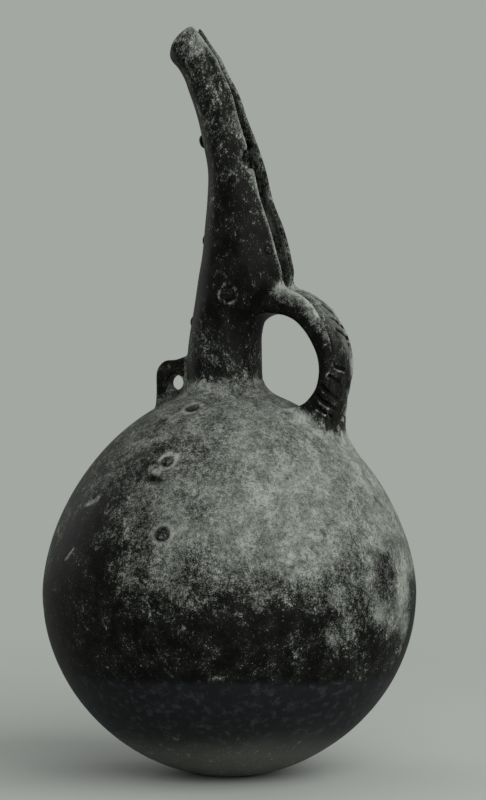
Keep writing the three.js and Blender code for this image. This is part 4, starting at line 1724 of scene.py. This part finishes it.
def per_size(size: float) -> float:
    """Noise scale for a blotch of a real size in millimetres."""
    return 1000 / size


def empty_material(name: str) -> tuple[Material, NodeTree]:
    """Material with no nodes yet, and its tree.

    Args:
        name: Name of the material.

    Returns:
        The material and its tree.
    """
    made = bpy.data.materials.new(name)
    made.use_nodes = True
    made.node_tree.nodes.clear()
    return made, made.node_tree


def add_step(tree: NodeTree, value: object, low: object, high: object) -> NodeSocket:
    """Adds a smooth step of a value from 0 at low to 1 at high.

    Args:
        tree: Shader or geometry tree.
        value: Number that is stepped.
        low: Where the step begins.
        high: Where it ends.

    Returns:
        The result's socket.
    """
    return add_node(tree, "ShaderNodeMapRange", {
        "Value": value, "From Min": low, "From Max": high,
    }, interpolation_type="SMOOTHSTEP").outputs["Result"]


@dataclass(frozen=True)
class SlippedEarthenware:
    """Iron-rich slip burnished on coarse earthenware and reduced to black, under lime from the soil.

    The slip gives a near-black, faintly glossy ground. The crust gives the matt pale flecks, which join up
    into a pale skin where there is most of it. Wear shows the dull grey clay, and painted shade and dark
    nicks the deepest black.
    """

    name: str
    ground: str = "080807"
    ground_soft: str = "141513"
    thin_crust: str = "2f312d"
    half_crust: str = "4a4d48"
    crust: str = "7d817b"
    crust_bright: str = "92968f"
    grain: str = "6d706a"
    clay: str = "666863"
    band_deep: str = "1b1d1f"
    band_soft: str = "2e3134"
    # Black of the painted shade in hollows, creases and grooves, also used for the dark nicks.
    shade_and_nicks: str = "080707"
    burnish: float = 0.5
    matt: float = 0.88
    gloss: float = 0.05
    # Widths of the patterns in millimetres, as on the jug. The lime's finest grains are smaller than a
    # pixel of the render, so fleck is drawn as coarse as it needs to show.
    fleck: float = 0.8
    pore: float = 2.0
    patch: float = 2.6
    dapple: float = 5.0
    clump: float = 6.5
    cloud: float = 10.0
    # Height of the relief in millimetres, and how far the patterns are drawn out upright.
    ridge: float = 0.3
    drawn: float = 1.0

    def build(self) -> Material:
        """Makes the material.

        Returns:
            The material.
        """
        made, tree = empty_material(self.name)
        sums = partial(add_sum, tree)
        times = partial(add_sum, tree, "MULTIPLY")
        scaled = partial(add_sum, tree, "MULTIPLY_ADD")
        between = partial(add_step, tree)
        place = add_node(tree, "ShaderNodeVectorMath", {
            0: add_node(tree, "ShaderNodeTexCoord").outputs["Object"], 1: (1.0, 1.0, 1 / self.drawn),
        }, operation="MULTIPLY").outputs["Vector"]

        def blotches(size: float, detail: float, roughness: float = 0.6) -> NodeSocket:
            """Noise with blotches of a size in millimetres.

            Args:
                size: Width of the blotches in millimetres.
                detail: Number of finer layers.
                roughness: Strength of the finer layers.

            Returns:
                The noise's socket.
            """
            return add_node(tree, "ShaderNodeTexNoise", {
                "Vector": place, "Scale": per_size(size), "Detail": detail, "Roughness": roughness,
            }).outputs["Fac"]

        def blend(share: object, *tones: object) -> NodeSocket:
            """Mix of two tones, each a socket or a hex value.

            Args:
                share: Share of the second tone.
                *tones: The first and the second tone.

            Returns:
                The mix's socket.
            """
            first, second = (linear(tone) if isinstance(tone, str) else tone for tone in tones)
            mix = add_node(tree, "ShaderNodeMix", {0: share, 6: first, 7: second}, data_type="RGBA")
            return mix.outputs[2]

        lime, band, worn, black = (
            add_node(tree, "ShaderNodeAttribute", attribute_name=name).outputs["Fac"]
            for name in FiringAndLight.NAMES
        )
        fine = blotches(self.fleck, 2.0, 0.7)
        patchy = blotches(self.patch, 5.0, 0.68)
        cloudy = blotches(self.cloud, 3.0)
        mixed = sums("ADD", sums("ADD", times(fine, 0.42), times(patchy, 0.38)), times(cloudy, 0.20))
        # Little lime stays in separate flecks, and much of it runs together.
        spread = times(sums("SUBTRACT", mixed, 0.5), scaled(lime, -4.7, 5.7))
        clump = between(blotches(self.clump, 5.0, 0.7), 0.54, 0.68)
        bare = times(sums("SUBTRACT", 0.62, lime), between(lime, 0.01, 0.16))
        cover = sums("ADD", lime, sums("ADD", spread, times(clump, bare)))
        ground = blend(between(cloudy, 0.35, 0.65), self.ground, self.ground_soft)
        ground = blend(times(worn, 0.85), ground, self.clay)
        thin = blend(between(lime, 0.02, 0.34), self.thin_crust, self.half_crust)
        colour = blend(between(cover, 0.17, 0.62), ground, thin)
        pale = blend(between(cloudy, 0.32, 0.68), self.crust, self.crust_bright)
        colour = blend(between(cover, 0.42, 1.02), colour, pale)
        # Single grains, and the open pores of the crust.
        speck = between(fine, scaled(lime, -0.12, 0.73), scaled(lime, -0.12, 0.79))
        most = sums("MINIMUM", scaled(lime, 0.9, 0.14), 0.42)
        colour = blend(times(speck, most), colour, self.grain)
        pores = between(blotches(self.pore, 2.0), 0.56, 0.62)
        colour = blend(times(pores, times(lime, 0.5)), colour, self.thin_crust)
        # Smooth belt low on the body, and painted shade in hollows, creases and grooves, with the dark
        # nicks.
        dappled = between(blotches(self.dapple, 3.0), 0.48, 0.70)
        colour = blend(times(band, 0.88), colour, blend(dappled, self.band_deep, self.band_soft))
        colour = blend(black, colour, self.shade_and_nicks)
        rough = scaled(between(cover, 0.1, 0.9), self.matt - self.burnish, self.burnish)
        bumps = sums("ADD", times(between(cover, 0.1, 1.0), 0.5), times(fine, 0.5))
        bumps = sums("ADD", bumps, times(patchy, 0.6))
        raised = add_node(tree, "ShaderNodeBump", {
            "Height": times(bumps, scaled(band, -0.6, 1.0)), "Strength": 0.7, "Distance": self.ridge * MM,
        }).outputs["Normal"]
        shader = add_node(tree, "ShaderNodeBsdfPrincipled", {
            "Base Color": colour,
            "Roughness": rough,
            "Normal": raised,
            "IOR": 1.5,
            "Specular IOR Level": self.gloss,
        })
        add_node(tree, "ShaderNodeOutputMaterial", {"Surface": shader.outputs["BSDF"]})
        return made


def add_seen(tree: NodeTree) -> NodeSocket:
    """Adds what is more than 0 for all that the camera sees, straight or in a gloss or a glass.

    Args:
        tree: Shader or geometry tree.

    Returns:
        The result's socket.
    """
    path = add_node(tree, "ShaderNodeLightPath").outputs
    gloss = add_sum(tree, "MAXIMUM", path["Is Camera Ray"], path["Is Glossy Ray"])
    return add_sum(tree, "MAXIMUM", gloss, path["Is Transmission Ray"])


@dataclass(frozen=True)
class MattPaper:
    """Matt grey paper under the jug, which keeps its shadow and takes the backdrop's tone far off."""

    tone: str = "adb1ac"
    backdrop: str = "a4a8a3"
    fade: tuple[float, float] = (260, 1000)

    def build(self) -> Material:
        """Makes the material.

        Returns:
            The material.
        """
        made, tree = empty_material("floor_paper")
        matt = add_node(tree, "ShaderNodeBsdfDiffuse", {"Color": linear(self.tone)})
        plain = add_node(tree, "ShaderNodeEmission", {"Color": linear(self.backdrop), "Strength": 1.0})
        place = add_node(tree, "ShaderNodeTexCoord").outputs["Object"]
        away = add_node(tree, "ShaderNodeVectorMath", {0: place}, operation="LENGTH").outputs["Value"]
        far = add_step(tree, away, self.fade[0] * MM, self.fade[1] * MM)
        share = add_sum(tree, "MULTIPLY", far, add_seen(tree))
        mixed = add_node(tree, "ShaderNodeMixShader", {0: share, 1: matt.outputs[0], 2: plain.outputs[0]})
        add_node(tree, "ShaderNodeOutputMaterial", {"Surface": mixed.outputs[0]})
        return made


def write_amounts(made: Object, firing_and_light: FiringAndLight, shape: Optional[Field] = None) -> None:
    """Writes the firing's amounts on every point of a piece.

    Args:
        made: The piece.
        firing_and_light: What gives the amounts.
        shape: Field of the piece, or none.
    """
    points = read_points(made) / MM
    normals = np.empty(len(points) * 3)
    made.data.vertices.foreach_get("normal", normals)
    for name, values in firing_and_light.amounts(points, normals.reshape(-1, 3), shape).items():
        write_layer(made.data, name, values)


# Studio


@dataclass
class Studio:
    """Pale floor and backdrop, soft lamps and the camera at the picture's viewing angle."""

    distance: float = 1500
    eye_height: float = 224
    eye_right: float = 8.1
    lens: float = 112.5
    floor_reach: float = 9000
    aim_height: float = 190
    daylight: str = "e6e7e6"
    paper: MattPaper = MattPaper()

    def spot(self, right: float, near: float, up: float) -> Vector:
        """Place from its ways to the right in the picture, towards the camera and up, in millimetres."""
        cosine, sine = math.cos(VIEW_TURN), math.sin(VIEW_TURN)
        return Vector((cosine, sine, 0)) * right + Vector((sine, -cosine, 0)) * near + Vector((0, 0, up))

    def camera(self) -> None:
        """Makes the camera, level and square to the picture."""
        data = bpy.data.cameras.new("camera")
        data.lens = self.lens
        data.sensor_width = 36
        eye = linked("camera", data)
        eye.location = self.spot(self.eye_right, self.distance, self.eye_height) * MM
        eye.rotation_euler = self.spot(0, -1, 0).to_track_quat("-Z", "Y").to_euler()
        bpy.context.scene.camera = eye

    def floor(self) -> None:
        """Level floor, wide enough to run out of sight on every side."""
        signs = np.array([(-1, -1, 0), (1, -1, 0), (1, 1, 0), (-1, 1, 0)])
        made = plain_object("floor", self.floor_reach * signs, np.array([[0, 1, 2, 3]]))
        made.data.materials.append(self.paper.build())

    def lamp(self, name: str, right: float, up: float, near: float, size: float, power: float) -> None:
        """One soft square lamp that faces the jug's middle, placed in millimetres.

        Args:
            name: Name of the lamp.
            right: Way to the right in the picture.
            up: Height above the floor.
            near: Way towards the camera.
            size: Width of the lamp.
            power: Its power in watts.
        """
        data = bpy.data.lights.new(name, "AREA")
        data.shape = "SQUARE"
        data.size = size * MM
        data.energy = power
        made = linked(name, data)
        spot = self.spot(right, near, up)
        made.location = spot * MM
        aim = Vector((0, 0, self.aim_height)) - spot
        made.rotation_euler = aim.to_track_quat("-Z", "Y").to_euler()
        made.visible_camera = False

    def light(self) -> None:
        """Key from the upper right, front light, weak light along both edges, and an even world."""
        self.lamp("key", 1150, 1200, 1000, 1700, 22)
        self.lamp("front", 400, 800, 1700, 1300, 17)
        self.lamp("edge", -900, 600, -700, 700, 2.2)
        self.lamp("back", 900, 900, -1000, 900, 3.4)
        world = bpy.data.worlds.new("room")
        bpy.context.scene.world = world
        world.use_nodes = True
        tree = world.node_tree
        tree.nodes.clear()
        even, plain = (
            add_node(tree, "ShaderNodeBackground", {"Color": linear(tone), "Strength": strength}).outputs[0]
            for tone, strength in ((self.daylight, 0.5), (self.paper.backdrop, 1.0))
        )
        mixed = add_node(tree, "ShaderNodeMixShader", {0: add_seen(tree), 1: even, 2: plain})
        add_node(tree, "ShaderNodeOutputWorld", {"Surface": mixed.outputs[0]})

    def build(self) -> None:
        """Makes the whole studio."""
        bpy.context.scene.view_settings.view_transform = "Standard"
        self.camera()
        self.floor()
        self.light()


# Assembly


@dataclass
class Jug:
    """The dressed jug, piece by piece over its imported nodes."""

    wall: JugWall = field(default_factory=JugWall)

    def __post_init__(self) -> None:
        """Settles the pellets and the firing."""
        self.seats = PelletSeats(self.wall)
        self.strap = StrapHandle(self.wall)
        self.firing_and_light = FiringAndLight(self.wall, self.seats, self.strap)

    def place(self, made: Object, slot: Slot, nodes: list[str], shape: Optional[Field] = None) -> None:
        """Fires a piece, rides it on the body and hides the CAD nodes that it stands for.

        Args:
            made: The piece.
            slot: Its material slot; not used.
            nodes: CAD nodes that it stands for.
            shape: Field of the piece, or none.
        """
        write_amounts(made, self.firing_and_light, shape)
        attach(made, "root")
        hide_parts(*nodes)
        LOG.info("%s: %d points, %d faces", made.name, len(made.data.vertices), len(made.data.polygons))

    def build(self) -> None:
        """Builds every piece in order."""
        dark = SlippedEarthenware("black_slip_over_earthenware").build()
        speckled = SlippedEarthenware("lime_crusted_slip").build()
        streaked = SlippedEarthenware("streaked_slip", drawn=1.5).build()
        handled = SlippedEarthenware("handled_slip", burnish=0.45).build()
        bowl = BodyHalf(self.wall.body, False).build(dark)
        self.place(bowl, Slot.DARK, ["base_bowl"])
        shoulder = BodyHalf(self.wall.body, True).build(speckled)
        self.place(shoulder, Slot.LIME, ["shoulder_dome"])
        for name, maker, finish, slot, nodes in (
            ("neck_and_spout", NeckAndSpout(self.wall), streaked, Slot.DARK, ["neck_tube", "open_spout"]),
            ("strap", self.strap, handled, Slot.WORN, ["strap_handle"]),
            ("lug", StringLug(self.wall), handled, Slot.WORN, ["string_lug"]),
        ):
            made = plain_object(name, *maker.build())
            made.data.materials.append(finish)
            face_outwards(made)
            self.place(made, slot, nodes, maker.clay)
        pellets = PelletRow(self.seats).build(handled)
        self.place(pellets, Slot.WORN, [row.node for row in self.seats.rows])


def main() -> None:
    """Builds the studio and the jug."""
    logging.basicConfig(level=logging.INFO, format="%(message)s")
    Studio().build()
    Jug().build()


if __name__ == "__main__":
    main()
